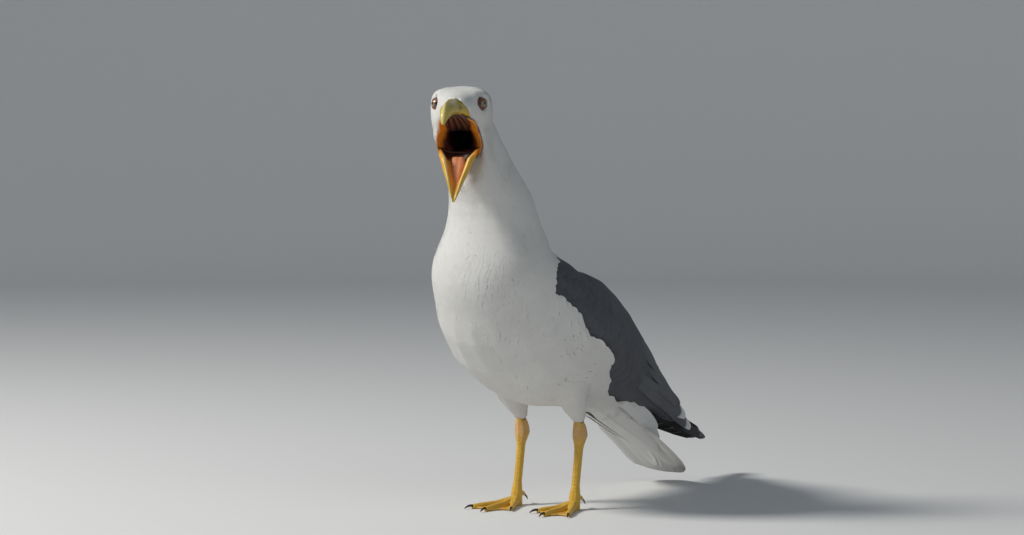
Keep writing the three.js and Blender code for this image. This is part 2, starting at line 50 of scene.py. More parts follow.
LEFTWARD = np.array([math.cos(HEAD_TURN), math.sin(HEAD_TURN), 0.0])
UPWARD = np.array([0.0, 0.0, 1.0])
SKIN_GRAIN = 2.4 * MM
WELD = MM / 100  # points nearer than this are one
SKIN_NODES = ["head", "neck", "trunk", "mantle", "thigh_left", "thigh_right"]
FEATHER_ENDED = [("wing_left", -196), ("wing_right", -196), ("tail", -140)]
WHITE = np.array([0.83, 0.825, 0.80])
MANTLE_GREY = np.array([0.1, 0.106, 0.12])


def place(side, forward, up):
    """A point in millimetres to the bird's left, forward of its legs, and up from the floor."""
    return np.array([side, -forward - LEGS_AHEAD, up]) * MM


def on_head(ahead, side, up):
    """A point measured from midway between the eyes, along the way the head faces."""
    return place(-5, 133, 365) + MM * (ahead * AHEAD + side * LEFTWARD + up * UPWARD)


# Where the coat lies which way: a point, the way the feathers point there, their length and
# how deep they lie over the skin. Head points are in the head's own frame.
HEAD_LIE = [
    ((26, 0, 6), (-1, 0, 0.5), 3.2, 0.7),
    ((20, 13, -2), (-0.8, 0.6, 0.1), 3.0, 0.7),
    ((10, 0, 13), (-1, 0, 0.3), 5.0, 1.6),
    ((10, 20, 9), (-0.95, 0.3, 0.15), 3.6, 1.2),
    ((-8, 0, 16), (-1, 0, -0.1), 7.0, 2.4),
    ((-10, 25, 3), (-1, 0.05, -0.25), 5.5, 1.8),
    ((-32, 0, 2), (-0.3, 0, -0.95), 9.0, 3.0),
    ((8, 22, -12), (-0.9, 0.3, -0.3), 3.4, 0.9),
    ((-8, 27, -18), (-0.8, 0.1, -0.6), 6.5, 2.0),
    ((-12, 22, -42), (-0.6, 0, -0.8), 8.0, 2.4),
    ((2, 18, -48), (-0.6, 0.1, -0.8), 5.0, 1.4),
    ((9, 6, -64), (-0.4, 0, -0.9), 5.0, 1.2),
    ((-2, 0, -72), (-0.3, 0, -0.95), 9.0, 2.6),
]
BODY_LIE = [
    ((0, 128, 300), (0, 0, -1), 12, 3.5),
    ((33, 98, 300), (0.05, -0.1, -1), 12, 3.5),
    ((0, 62, 300), (0, -0.15, -1), 12, 3.5),
    ((52, 92, 240), (0.1, -0.35, -0.94), 17, 4.5),
    ((0, 42, 240), (0, -0.6, -0.8), 18, 4.0),
    ((0, 150, 215), (0, -0.1, -1), 18, 5.0),
    ((0, 122, 150), (0, -0.6, -0.8), 22, 5.5),
    ((64, 80, 180), (0.05, -0.6, -0.8), 21, 5.5),
    ((0, 60, 105), (0, -1, -0.15), 25, 6.0),
    ((0, -30, 84), (0, -1, 0.0), 26, 6.0),
    ((66, 30, 135), (0, -0.95, 0.0), 28, 6.5),
    ((56, -40, 108), (-0.1, -1, 0.05), 30, 6.0),
    ((40, -90, 85), (-0.1, -1, -0.2), 30, 5.0),
    ((31, 20, 110), (0, -0.45, -0.9), 16, 4.0),
    ((31, -6, 90), (0, -0.25, -1), 11, 2.0),
    ((0, -90, 72), (0, -0.92, -0.4), 27, 5.0),
    ((0, -140, 52), (0, -0.83, -0.56), 34, 4.0),
    ((0, 20, 222), (0, -0.86, -0.5), 28, 4.0),
    ((0, -50, 190), (0, -0.86, -0.5), 34, 4.0),
    ((0, -120, 135), (0, -0.84, -0.54), 34, 4.0),
    ((42, 34, 214), (0.04, -0.85, -0.52), 30, 4.0),
    ((40, -50, 180), (-0.1, -0.86, -0.5), 38, 4.0),
    ((66, 50, 196), (0.02, -0.75, -0.66), 17, 3.0),
    ((72, 0, 168), (-0.1, -0.86, -0.5), 20, 3.0),
    ((60, -60, 130), (-0.16, -0.87, -0.46), 24, 3.0),
    ((42, -120, 100), (-0.14, -0.9, -0.42), 28, 3.0),
    ((24, -180, 76), (-0.1, -0.93, -0.36), 30, 2.0),
]
# Up the neck, from a guide's broad hold over the body to its narrow one over the head.
NECK_HEIGHTS = [250 * MM, 320 * MM]
GUIDE_BLENDS = [24 * MM, 5 * MM]


def lie_table():
    """All the guides in the frame's axes, those beside the middle line on both sides."""
    rows = []
    for spot, way, length, depth in HEAD_LIE:
        for side in (1, -1) if spot[1] else (1,):
            turned = way[0] * AHEAD + side * way[1] * LEFTWARD + way[2] * UPWARD
            rows.append((on_head(spot[0], side * spot[1], spot[2]), turned, length, depth))
    for spot, way, length, depth in BODY_LIE:
        for side in (1, -1) if spot[0] else (1,):
            turned = np.array([side * way[0], -way[1], way[2]])
            rows.append((place(side * spot[0], spot[1], spot[2]), turned, length, depth))
    return [np.array(column) for column in zip(*rows)]


GUIDE_SPOTS, GUIDE_WAYS, GUIDE_LENGTHS, GUIDE_DEPTHS = lie_table()


def coat_at(points):
    """The way, length and depth of the coat at each point, from the guides about it."""
    gap = points[:, None, :] - GUIDE_SPOTS[None]
    blend = np.interp(points[:, 2], NECK_HEIGHTS, GUIDE_BLENDS)[:, None]
    weight = 1 / ((gap**2).sum(2) + blend**2) ** 2
    weight /= weight.sum(1, keepdims=True)
    way = weight @ GUIDE_WAYS
    way /= np.linalg.norm(way, axis=1, keepdims=True)
    return way, weight @ GUIDE_LENGTHS * MM, weight @ GUIDE_DEPTHS * MM


def gathered(names):
    """These solids together in one bmesh."""
    whole = bmesh.new()
    for name in names:
        whole.from_mesh(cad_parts[name].data)
    return whole


def as_mesh(name, whole):
    """A mesh of this name from a bmesh, which is then freed."""
    mesh = bpy.data.meshes.new(name)
    whole.to_mesh(mesh)
    whole.free()
    return mesh


def tree_of(*names):
    """A search tree over these solids, to measure how far a point is from them."""
    return BVHTree.FromBMesh(gathered(names))


def distance_to(tree, points, far):
    """How far each point is from a tree's surface, up to `far`."""
    return np.array([tree.find_nearest(Vector(p), far)[3] or far for p in points])


BARE = tree_of("bill_upper", "bill_lower", "gape", "throat", "eye_left", "eye_right")
BARE_REACH = 9 * MM


def fullness(points):
    """How much of its depth the coat has, which thins out towards the bill, mouth and eyes."""
    return np.clip(distance_to(BARE, points, BARE_REACH) / BARE_REACH, 0.1, 1)


def carved_body():
    """The solids of flesh as one mesh, those that end in long feathers cut short."""
    whole = gathered(SKIN_NODES)
    for name, back in FEATHER_ENDED:
        piece = gathered([name])
        bmesh.ops.remove_doubles(piece, verts=piece.verts, dist=WELD)
        everything = piece.verts[:] + piece.edges[:] + piece.faces[:]
        bmesh.ops.bisect_plane(
            piece, geom=everything, plane_co=place(0, back, 0), plane_no=(0, 1, 0), clear_outer=True
        )
        bmesh.ops.holes_fill(piece, edges=[e for e in piece.edges if e.is_boundary])
        whole.from_mesh(as_mesh(name, piece))
    bmesh.ops.remove_doubles(whole, verts=whole.verts, dist=WELD)
    return as_mesh("carved_body", whole)


def drawn_over(mesh, grain):
    """One closed surface over a mesh of several solids, of small even squares."""
    carrier = bpy.data.objects.new("carrier", mesh)
    bpy.context.scene.collection.objects.link(carrier)
    remesh = carrier.modifiers.new("draw", "REMESH")
    remesh.mode = "VOXEL"
    remesh.voxel_size = grain
    bpy.context.view_layer.update()
    drawn = carrier.evaluated_get(bpy.context.evaluated_depsgraph_get())
    result = bpy.data.meshes.new_from_object(drawn)
    bpy.data.objects.remove(carrier)
    return result


def corners_of(mesh):
    points = np.zeros(len(mesh.vertices) * 3)
    mesh.vertices.foreach_get("co", points)
    return points.reshape(-1, 3)


def normals_of(mesh):
    normals = np.zeros(len(mesh.vertices) * 3)
    mesh.vertices.foreach_get("normal", normals)
    return normals.reshape(-1, 3)


def smoothed(mesh, points, rounds, pulls=(0.5, -0.52)):
    """Points relaxed along the mesh's edges, swelling back each time so that nothing shrinks."""
    ends = np.zeros(len(mesh.edges) * 2, dtype=np.int64)
    mesh.edges.foreach_get("vertices", ends)
    first, second = ends.reshape(-1, 2).T
    count = np.bincount(ends, minlength=len(points))[:, None]
    for _ in range(rounds):
        for pull in pulls:
            total = np.zeros_like(points)
            for axis in range(3):
                total[:, axis] += np.bincount(first, points[second, axis], len(points))
                total[:, axis] += np.bincount(second, points[first, axis], len(points))
            points = points + pull * (total / count - points)
    return points


# Small swellings and hollows of the face: a point on the head, its reach and its height.
FACE_FORMS = [
    ((6, 20, 9), 8, 2.0),
    ((-4, 22, 10), 9, 1.4),
    ((17, 12, -1), 7, -1.2),
    ((2, 0, 17), 9, -1.0),
    ((6, 25, -12), 9, 0.8),
    ((24, 10, -9), 5, -1.5),
]
EYE_CENTRE = (4.5, 18, 0)
EYE_RADIUS = 6.1
SOCKET_DEPTH = 3.5
SOCKET_EDGE = (5.8, 3.6)  # from an eye's middle, where its socket begins and is at full depth


def unit(vectors):
    return vectors / np.maximum(np.linalg.norm(vectors, axis=-1, keepdims=True), 1e-9)


def ramp(values, start, end):
    """0 at the start and 1 at the end, level beyond them. The end may be the smaller."""
    return np.clip((values - start) / (end - start), 0, 1)


def flat_to(ups, ways):
    """Directions laid into the surface whose normals are given."""
    return unit(ways - (ways * ups).sum(-1, keepdims=True) * ups)


def eye_axes(hand):
    """The middle of an eye, the way it looks, and the ways forward and up across it."""
    ahead, side, up = EYE_CENTRE
    middle = on_head(ahead, hand * side, up)
    look = unit(0.6 * AHEAD + hand * 0.79 * LEFTWARD + 0.06 * UPWARD)
    forward = flat_to(look, AHEAD)
    upward = flat_to(look, UPWARD - (UPWARD @ forward) * forward)
    return middle, look, forward, upward


def shaped_face(points, normals):
    """The brows, the hollows in front of the eyes and the cheeks pushed out or in."""
    moved = points.copy()
    for (ahead, side, up), reach, height in FACE_FORMS:
        for hand in (1, -1) if side else (1,):
            gap = np.linalg.norm(points - on_head(ahead, hand * side, up), axis=1)
            share = np.exp(-((gap / (reach * MM)) ** 2))
            moved += normals * (share * height * MM)[:, None]
    for hand in (1, -1):
        middle, look, _, _ = eye_axes(hand)
        proud = (moved - middle) @ look
        off = np.linalg.norm(moved - middle - proud[:, None] * look, axis=1) / MM
        hollow = ramp(off, *SOCKET_EDGE) * (proud > 0)
        moved -= look * (hollow * SOCKET_DEPTH * MM)[:, None]
    return moved


# The outline of the grey saddle seen from the side: forward and up, round the back and wing.
SADDLE = [
    (66, 300), (66, 240), (80, 226), (87, 210), (88, 198), (82, 192), (76, 190), (60, 177),
    (48, 164), (34, 156), (22, 152), (8, 148), (-4, 139), (0, 132), (-10, 122), (-26, 108),
    (-38, 98), (-56, 91), (-105, 86), (-150, 72), (-200, 40), (-320, 0), (-320, 300),
]


def forward_of(points):
    """How far ahead of the legs points are, in millimetres."""
    return -points[:, 1] / MM - LEGS_AHEAD


def inside_saddle(points):
    """True where a point lies within the saddle's outline, seen from the bird's side."""
    forward = forward_of(points)
    up = points[:, 2] / MM
    inside = np.zeros(len(points), bool)
    for (f0, u0), (f1, u1) in zip(SADDLE, SADDLE[1:] + SADDLE[:1]):
        crosses = (u0 > up) != (u1 > up)
        run = np.where(crosses, (f1 - f0) * (up - u0) / ((u1 - u0) or 1) + f0, 0)
        inside ^= crosses & (forward < run)
    return inside


WING_TREE = tree_of("wing_left", "wing_right", "mantle")
GREY_REACH = 13  # how far from those solids the coat may still be grey


def is_grey(points):
    """The back and wings are grey, within the saddle's outline and on or near their solids."""
    near = distance_to(WING_TREE, points, (GREY_REACH + 1) * MM) < GREY_REACH * MM
    return inside_saddle(points) & near


def plumage_colour(points):
    return np.where(is_grey(points)[:, None], MANTLE_GREY, WHITE)


def new_object(name, mesh):
    """An object of this mesh in the scene, smoothly shaded."""
    mesh.polygons.foreach_set("use_smooth", [True] * len(mesh.polygons))
    made = bpy.data.objects.new(name, mesh)
    bpy.context.scene.collection.objects.link(made)
    return made


def reshape(mesh, points):
    mesh.vertices.foreach_set("co", np.ascontiguousarray(points, dtype=np.float32).ravel())
    mesh.update()


def mixed(tint, colour, share):
    return tint * (1 - share) + colour * share


def paint(mesh, colours):
    """One colour for each point of the mesh, for its material to read."""
    layer = mesh.color_attributes.new("Tint", "FLOAT_COLOR", "POINT")
    full = np.concatenate([colours, np.ones((len(colours), 1))], axis=1)
    layer.data.foreach_set("color", full.astype(np.float32).ravel())


def new_material(name):
    """A material with only its principled shader, its node tree and a helper to add to it."""
    material = bpy.data.materials.new(name)
    material.use_nodes = True
    tree = material.node_tree
    shader = tree.nodes["Principled BSDF"]

    def add(kind, **values):
        node = tree.nodes.new("ShaderNode" + kind)
        for key, value in values.items():
            if key in node.bl_rna.properties:
                setattr(node, key, value)
            else:
                node.inputs[key.replace("_", " ")].default_value = value
        return node

    return material, shader, add, tree.links.new


def painted_colour(add):
    return add("Attribute", attribute_name="Tint").outputs["Color"]


def mottled_colour(add, link, scale, detail, darkest, lightest):
    """The painted colour under a cloud of slightly darker and lighter patches."""
    cloud = add("TexNoise", Scale=scale, Detail=detail)
    link(add("TexCoord").outputs["Object"], cloud.inputs["Vector"])
    shade = add("MapRange", To_Min=darkest, To_Max=lightest)
    link(cloud.outputs["Fac"], shade.inputs["Value"])
    tone = add("VectorMath", operation="SCALE")
    link(painted_colour(add), tone.inputs[0])
    link(shade.outputs[0], tone.inputs["Scale"])
    return tone.outputs[0]


def surface(name, grain, relief, roughness, mottle=None, glow=None):
    """A finish in its mesh's painted colours. grain is the kind, scale and detail of its texture,
    relief how strongly and how deeply that stands out, mottle the cloud over the colour, and glow
    how much light enters and how far each of its three colours goes."""
    material, shader, add, link = new_material(name)
    kind, scale, detail = grain
    texture = add(kind, Scale=scale, Detail=detail)
    link(add("TexCoord").outputs["Object"], texture.inputs["Vector"])
    bump = add("Bump", Strength=relief[0], Distance=relief[1])
    link(texture.outputs[0], bump.inputs["Height"])
    link(bump.outputs[0], shader.inputs["Normal"])
    colour = mottled_colour(add, link, *mottle) if mottle else painted_colour(add)
    link(colour, shader.inputs["Base Color"])
    shader.inputs["Roughness"].default_value = roughness
    if glow:
        shader.inputs["Subsurface Weight"].default_value = glow[0]
        shader.inputs["Subsurface Radius"].default_value = glow[1:]
        shader.inputs["Subsurface Scale"].default_value = 1.0
    return material


BREAST_HEIGHT = 215  # the flesh is sleeker about here than it is elsewhere
body_mesh = drawn_over(carved_body(), SKIN_GRAIN)
outline = smoothed(body_mesh, corners_of(body_mesh), 24)
high = ramp(np.abs(outline[:, 2] / MM - BREAST_HEIGHT), 50, 35)
on_breast = high * ramp(forward_of(outline), 75, 90)
sleek = smoothed(body_mesh, outline, 90, (0.5,))
outline = outline + (sleek - outline) * on_breast[:, None]
reshape(body_mesh, outline)
outline = shaped_face(outline, normals_of(body_mesh))
reshape(body_mesh, outline)
below = outline - normals_of(body_mesh) * (coat_at(outline)[2] * fullness(outline))[:, None]
below = smoothed(body_mesh, below, 3)
reshape(body_mesh, below)
MOUTH_MIDDLE = on_head(0, 0, -31)
MOUTH_OUTWARD = unit(0.9 * AHEAD - 0.44 * UPWARD)
GULLET_RADIUS = 15
GULLET_FRONT, GULLET_BACK = 6, 26  # how deep in the head the skin is dark
# GULLET_PAINTED_SHADOW is a painted shadow: the skin seen through the open mouth is painted near
# black. SKIN_SHADE is the bare skin's own slightly darker tone.
GULLET_PAINTED_SHADOW, SKIN_SHADE = 0.01, 0.9  # of the plumage's own colour


def within_mouth(points):
    """True where the skin crosses the hollow of the open mouth, behind its lining, but not on
    the nape beyond it."""
    away = (points - MOUTH_MIDDLE) / MM
    depth = -away @ MOUTH_OUTWARD
    reach = np.sqrt((away**2).sum(1) - depth**2)
    short_of_nape = depth - 0.4 * away @ LEFTWARD < GULLET_BACK
    return (reach < GULLET_RADIUS) & (depth > GULLET_FRONT) & short_of_nape


# Painted shadow: inside the mouth's hollow the skin is painted near black.
skin_shade = np.where(within_mouth(below), GULLET_PAINTED_SHADOW, SKIN_SHADE)
paint(body_mesh, plumage_colour(below) * skin_shade[:, None])
SKIN_QUADS = np.array([tuple(p.vertices) for p in body_mesh.polygons])
SKIN_NORMALS = normals_of(body_mesh)
SKIN_TREE = BVHTree.FromPolygons([Vector(p) for p in below], SKIN_QUADS.tolist())
skin = new_object("skin", body_mesh)


def settle(points, reach):
    """The nearest places on the skin and the way up from it there. A point further off than
    reach stays where it is, as where a feather runs on past the end of the flesh."""
    spots = np.empty_like(points)
    ups = np.empty_like(points)
    for i, point in enumerate(points):
        spot, _, quad, gap = SKIN_TREE.find_nearest(Vector(point))
        corners = SKIN_QUADS[quad]
        near = 1 / (np.linalg.norm(below[corners] - np.array(spot), axis=1) + MM / 10)
        up = near @ SKIN_NORMALS[corners]
        ups[i] = up / np.linalg.norm(up)
        spots[i] = point if gap > reach[i] else spot
    return spots, ups


# The legs' skin is drawn finer than the body's, for the scutes on the shanks and toes.
LEG_GRAIN = 0.6 * MM
LEG_SPACING = 62
FOOT_ROOT = 4  # ahead of the legs' middle
TOES = {"inner": (38, -27), "middle": (50, 0), "outer": (46, 26)}  # length, angle outwards
TOE_WIDTH, TOE_TOP = 8.4, 13
SHANK_FROM = 16  # up from the floor, above the joints of the toes
SHANK_SCUTE = 3.3
SHANK_HEIGHTS = [12, 22, 54, 65, 72, 82]
SHANK_GIRTHS = [1, 0.76, 0.76, 1.02, 1.02, 0.8]
TOE_SCUTE = 2.5
ANKLE_HEIGHT, ANKLE_REACH = 70, 9  # where the skin is pale and soft
LEG_YELLOW = np.array([0.66, 0.40, 0.045])
ANKLE_FLESH = np.array([0.62, 0.36, 0.17])
WEB_ORANGE = np.array([0.62, 0.33, 0.05])


def leg_skin(name, hand):
    """Shank, toes and webs: smooth skin, raised into overlapping scutes in front."""
    solids = gathered(["shank_" + name, "foot_" + name])
    mesh = drawn_over(as_mesh("leg_" + name, solids), LEG_GRAIN)
    points = smoothed(mesh, corners_of(mesh), 10)
    shank = points[:, 2] > SHANK_FROM * MM
    slim = np.interp(points[:, 2] / MM, SHANK_HEIGHTS, SHANK_GIRTHS)
    for axis in (0, 1):
        line = np.polyfit(points[shank, 2], points[shank, axis], 2)
        middle = np.polyval(line, points[:, 2])
        points[:, axis] = middle + (points[:, axis] - middle) * slim
    reshape(mesh, points)
    normals = normals_of(mesh)
    forward = forward_of(points)
    aside = hand * points[:, 0] / MM - LEG_SPACING / 2
    up = points[:, 2] / MM
    front = np.clip(-normals[:, 1], 0, 1) ** 1.5 * ramp(up, 14, 20)
    rise = 0.38 * (0.8 - (up / SHANK_SCUTE) % 1) * front
    nearest = np.full(len(points), 99.0)
    toe_rise = np.zeros(len(points))
    for length, angle in TOES.values():
        turn = math.radians(angle)
        along = (forward - FOOT_ROOT) * math.cos(turn) + aside * math.sin(turn)
        off = np.abs(aside * math.cos(turn) - (forward - FOOT_ROOT) * math.sin(turn))
        off = np.where((along > 0) & (along < length), off, 99)
        ridge = 0.3 * ((along / TOE_SCUTE) % 1 - 0.3) * ramp(off, TOE_WIDTH / 2, 0)
        toe_rise = np.where(off < nearest, ridge, toe_rise)
        nearest = np.minimum(off, nearest)
    top = np.clip(normals[:, 2], 0, 1) * (up < TOE_TOP)
    rise += toe_rise * top
    creases = 0.1 * np.sin(along / 1.1 + 2 * np.sin(off / 3)) * (nearest > 4) * (up < 4)
    points = points + normals * ((rise + creases) * MM)[:, None]
    points[:, 2] = np.maximum(points[:, 2], 0)
    reshape(mesh, points)
    ankle = np.exp(-(((up - ANKLE_HEIGHT) / ANKLE_REACH) ** 2))[:, None] * 0.75
    web = (ramp(nearest, 3.5, 5.5) * (up < 5))[:, None]
    paint(mesh, mixed(mixed(LEG_YELLOW, ANKLE_FLESH, ankle), WEB_ORANGE, web))
    return new_object("leg_" + name, mesh)


# The lids and the bare ring round each eye, an almond a little flat on top.
LID_OPENING = (4.5, 3.6)  # half its width and height
# Each ring of the rim: how far outside the opening and how far out from the eyeball.
LID_RINGS = ((-0.5, -0.15), (-0.05, 0.15), (0.15, 0.5), (0.5, 0.65), (0.9, 0.8))
LID_REDNESS = [0.0, 0.0, 0.1, 0.55, 1.0, 1.0, 0.7, 0.6]  # of these and three more on the skin
LID_END = 1.8  # outside the opening, where the bare skin ends under the feathers
LID_SIDES = 56
# RING_RED is darker than the ring's own red-orange, as it looks in shade: painted shade. LID_BROWN,
# on the lids' inner edge, is partly their own dark edge and partly painted shadow.
RING_RED = np.array([0.24, 0.052, 0.022])
LID_BROWN = np.array([0.07, 0.025, 0.012])


def band_faces(rings, sides, turned=False):
    """The squares between rings of points that follow each other, each ring closed on itself."""
    faces = []
    for start in range(0, (rings - 1) * sides, sides):
        for side in range(sides):
            a, b = start + side, start + (side + 1) % sides
            faces.append((a, b, b + sides, a + sides))
    return [face[::-1] for face in faces] if turned else faces


def lids(hand):
    """A rolled rim of flesh from the eyeball out to the feathers."""
    middle, look, forward, upward = eye_axes(hand)
    turn = np.linspace(0, 2 * math.pi, LID_SIDES, endpoint=False)
    across, over = np.cos(turn), np.sin(turn)
    opening = 1 / np.hypot(across / LID_OPENING[0], over / LID_OPENING[1])
    opening += 0.5 * np.clip(across, 0, 1) ** 6 - 0.4 * np.clip(over, 0, 1) * np.clip(across, 0, 1)
    outward = across[:, None] * forward + over[:, None] * upward
    rings = []
    for grow, proud in LID_RINGS:
        radius = opening + grow
        depth_in = np.sqrt(np.maximum(EYE_RADIUS**2 - radius**2, 4.0))
        rings.append(middle + (outward * radius[:, None] + look * (depth_in + proud)[:, None]) * MM)
    above = middle + (outward * (opening + LID_END)[:, None] + look * 15) * MM
    seat = np.array([SKIN_TREE.ray_cast(Vector(spot), Vector(-look))[0] for spot in above])
    rise = settle(seat, np.full(LID_SIDES, 1.0))[1]
    rings.append(rings[-1] * 0.45 + seat * 0.55 + (look * 0.55 + rise * 0.2) * MM)
    rings.append(seat + rise * 0.1 * MM)
    rings.append(seat - rise * 0.8 * MM)
    mesh = bpy.data.meshes.new("lids")
    faces = band_faces(len(rings), LID_SIDES, hand < 0)
    mesh.from_pydata(np.concatenate(rings).tolist(), [], faces)
    paint(mesh, mixed(LID_BROWN, RING_RED, np.repeat(LID_REDNESS, LID_SIDES)[:, None]))
    return new_object("lids", mesh)


# The finishes: thin skin with the stubble of the feathers' roots, the legs' waxy skin in small
# scales, and the bare swollen rim round the eye.
stubbled = surface("feathered_skin", ("TexVoronoi", 600, 0), (0.4, 0.0005), 0.8)
scaly = surface(
    "leg_skin", ("TexVoronoi", 620, 0), (0.35, 0.0004), 0.42, (240, 4, 0.78, 1.12),
    (0.12, 0.002, 0.001, 0.0004),
)
swollen = surface("eye_ring", ("TexNoise", 1800, 2), (0.3, 0.0002), 0.38)
flesh = [leg_skin("left", 1), leg_skin("right", -1), lids(1), lids(-1)]
for piece, finish in zip([skin, *flesh], [stubbled, scaly, scaly, swollen, swollen]):
    piece.data.materials.clear()
    piece.data.materials.append(finish)
bpy.ops.object.select_all(action="DESELECT")
for piece in [skin, *flesh]:
    piece.select_set(True)
bpy.context.view_layer.objects.active = skin
bpy.ops.object.join()
body_mesh.uv_layers.new(name="OFBake")
bpy.ops.object.mode_set(mode="EDIT")
bpy.ops.mesh.select_all(action="SELECT")
bpy.ops.uv.smart_project(angle_limit=math.radians(66), island_margin=0.001)
bpy.ops.object.mode_set(mode="OBJECT")
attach(skin, "root")
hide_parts("head", "neck", "trunk", "mantle", "wing_left", "wing_right")
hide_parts("thigh_left", "thigh_right", "shank_left", "shank_right", "foot_left", "foot_right")

# ---------------------------------------------------------------- eyes
# Glass eyes, blown and painted from behind: a small black pupil, an amber iris with fine rays
# and a dark rim, partly the eye's own and partly painted shadow of the lids, under a clear domed
# front. They are set into the sockets behind the lids.
IRIS_AMBER = np.array([0.27, 0.15, 0.035])
IRIS_OLIVE = np.array([0.12, 0.08, 0.02])
PUPIL_EDGE, IRIS_EDGE = 12, 36  # degrees from the middle of the eye
CORNEA_RISE, CORNEA_SPREAD = 0.45, 30  # the clear dome's height, and its width in degrees


def glass_eye(name, hand):
    middle, look, forward, upward = eye_axes(hand)
    tilt = np.concatenate([np.linspace(0.5, 50, 46), np.linspace(54, 178, 20)])
    turn = np.linspace(0, 2 * math.pi, 64, endpoint=False)
    slope, round_ = np.meshgrid(np.radians(tilt), turn, indexing="ij")
    degrees = np.degrees(slope)
    dome = EYE_RADIUS + CORNEA_RISE * np.exp(-((degrees / CORNEA_SPREAD) ** 2))
    outward = np.cos(round_)[..., None] * forward + np.sin(round_)[..., None] * upward
    points = middle + MM * dome[..., None] * (
        np.cos(slope)[..., None] * look + np.sin(slope)[..., None] * outward
    )
    sides = len(turn)
    faces = band_faces(len(tilt), sides, hand < 0)
    front, back = tuple(range(sides)), tuple(range((len(tilt) - 1) * sides, len(tilt) * sides))
    faces += [front[::-1], back] if hand > 0 else [front, back[::-1]]
    mesh = bpy.data.meshes.new(name)
    mesh.from_pydata(points.reshape(-1, 3).tolist(), [], faces)
    rays = 0.5 + 0.16 * np.sin(27 * round_ + 3 * np.sin(5 * round_)) + 0.12 * np.sin(17 * round_)
    share = ramp(degrees, PUPIL_EDGE, IRIS_EDGE)[..., None]
    amber = IRIS_AMBER * (0.6 + 0.5 * rays[..., None]) * (1 - 0.45 * share)
    # The dark round the iris is partly the eye's own dark rim and partly painted shadow of the lids.
    dark = ramp(degrees, PUPIL_EDGE + 1, PUPIL_EDGE - 1) + ramp(degrees, IRIS_EDGE - 2, IRIS_EDGE + 1)
    tint = mixed(amber, IRIS_OLIVE, 0.5 * share**3) * (1 - np.clip(dark, 0, 1))[..., None] + 0.006
    paint(mesh, tint.reshape(-1, 3))
    mesh.materials.append(eye_glass)
    made = new_object(name, mesh)
    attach(made, "root")
    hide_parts(name)


eye_glass, shader, add, link = new_material("eye_glass")
link(painted_colour(add), shader.inputs["Base Color"])
shader.inputs["Roughness"].default_value = 0.25
shader.inputs["Coat Weight"].default_value = 1.0
shader.inputs["Coat Roughness"].default_value = 0.02
glass_eye("eye_left", 1)
glass_eye("eye_right", -1)

# ---------------------------------------------------------------- bill
# Horn over bone, in two halves. The upper one is an arched roof with a ridge, a slit of a nostril
# on each side and a hook at the end; its ribbed palate shows from below. The lower one is a
# gutter between two thin edges, with a red spot on the angle of its chin.
# Each row is ahead, up, half width, height above and below, squareness and pitch.
UPPER_BILL = [
    (17.8, -5.6, 13.4, 9.8, 7.4, 1.6, 0),
    (31, -3.2, 9.6, 7.2, 6.8, 1.4, 2),
    (44.8, -2.8, 7, 6.4, 6.8, 1.35, -3),
    (58.5, -3.4, 5.9, 6, 6.6, 1.45, -9),
    (71.2, -6.2, 4.8, 5.8, 5.6, 1.6, -23),
    (80, -11.6, 3.4, 4.2, 3.4, 2, -48),
    (84.9, -18.2, 1.2, 1.4, 1.2, 2, -68),
]
LOWER_BILL = [
    (6, -39, 18.4, 6, 6, 2, -58),
    (13, -49.5, 14.8, 6, 7, 2, -58),
    (19, -59.5, 10.8, 5.5, 7.4, 2, -58),
    (25, -69, 6.8, 4.8, 7, 2, -58),
    (30, -77.5, 3.6, 3.2, 4, 2, -58),
    (33.5, -83.5, 1.2, 1.2, 1.4, 2, -58),
]
BILL_YELLOW = np.array([0.52, 0.39, 0.045])
BILL_SIDE_SHADE = np.array([0.3, 0.25, 0.03])
BILL_PALE = np.array([0.78, 0.70, 0.32])
BILL_ORANGE = np.array([0.80, 0.36, 0.03])
LIP_ORANGE = np.array([0.72, 0.23, 0.015])
SPOT_RED = np.array([0.55, 0.05, 0.02])
# PALATE_PINK is darker than the palate's own pink, as it looks in the shade under the bill: painted
# shade.
PALATE_PINK = np.array([0.24, 0.095, 0.055])
GUTTER_ORANGE = np.array([0.74, 0.33, 0.05])
# MOUTH_MAROON_IN_SHADE and THROAT_PAINTED_SHADOW are painted shade: the mouth's flesh is darkened to
# maroon and then to black the deeper it goes.
MOUTH_MAROON_IN_SHADE = np.array([0.075, 0.014, 0.008])
THROAT_PAINTED_SHADOW = np.array([0.006, 0.002, 0.002])
RAMUS = 0.37  # how much of the lower bill's half width each of its two branches takes
NOSTRIL = (41, -3.2)  # ahead and up, on each side
SPOT = (22, -72)  # the red spot's middle, ahead and up
# HIDDEN_END_SHADE is painted shade on the capped end of a piece where it sinks into the head or
# mouth.
HIDDEN_END_SHADE = MOUTH_MAROON_IN_SHADE * 0.4


def carried(rows, steps):
    """Rows of values joined by smooth curves, with `steps` from each row to the next."""
    rows = np.asarray(rows, float)
    padded = np.vstack([2 * rows[0] - rows[1], rows, 2 * rows[-1] - rows[-2]])
    made = []
    for i in range(len(rows) - 1):
        p0, p1, p2, p3 = padded[i : i + 4]
        for t in np.linspace(0, 1, steps, endpoint=False):
            bend = 2 * p0 - 5 * p1 + 4 * p2 - p3
            twist = 3 * p1 - p0 - 3 * p2 + p3
            made.append(0.5 * (2 * p1 + (p2 - p0) * t + bend * t * t + twist * t**3))
    return np.array(made + [rows[-1]])


def power(values, amount):
    return np.sign(values) * np.abs(values) ** amount


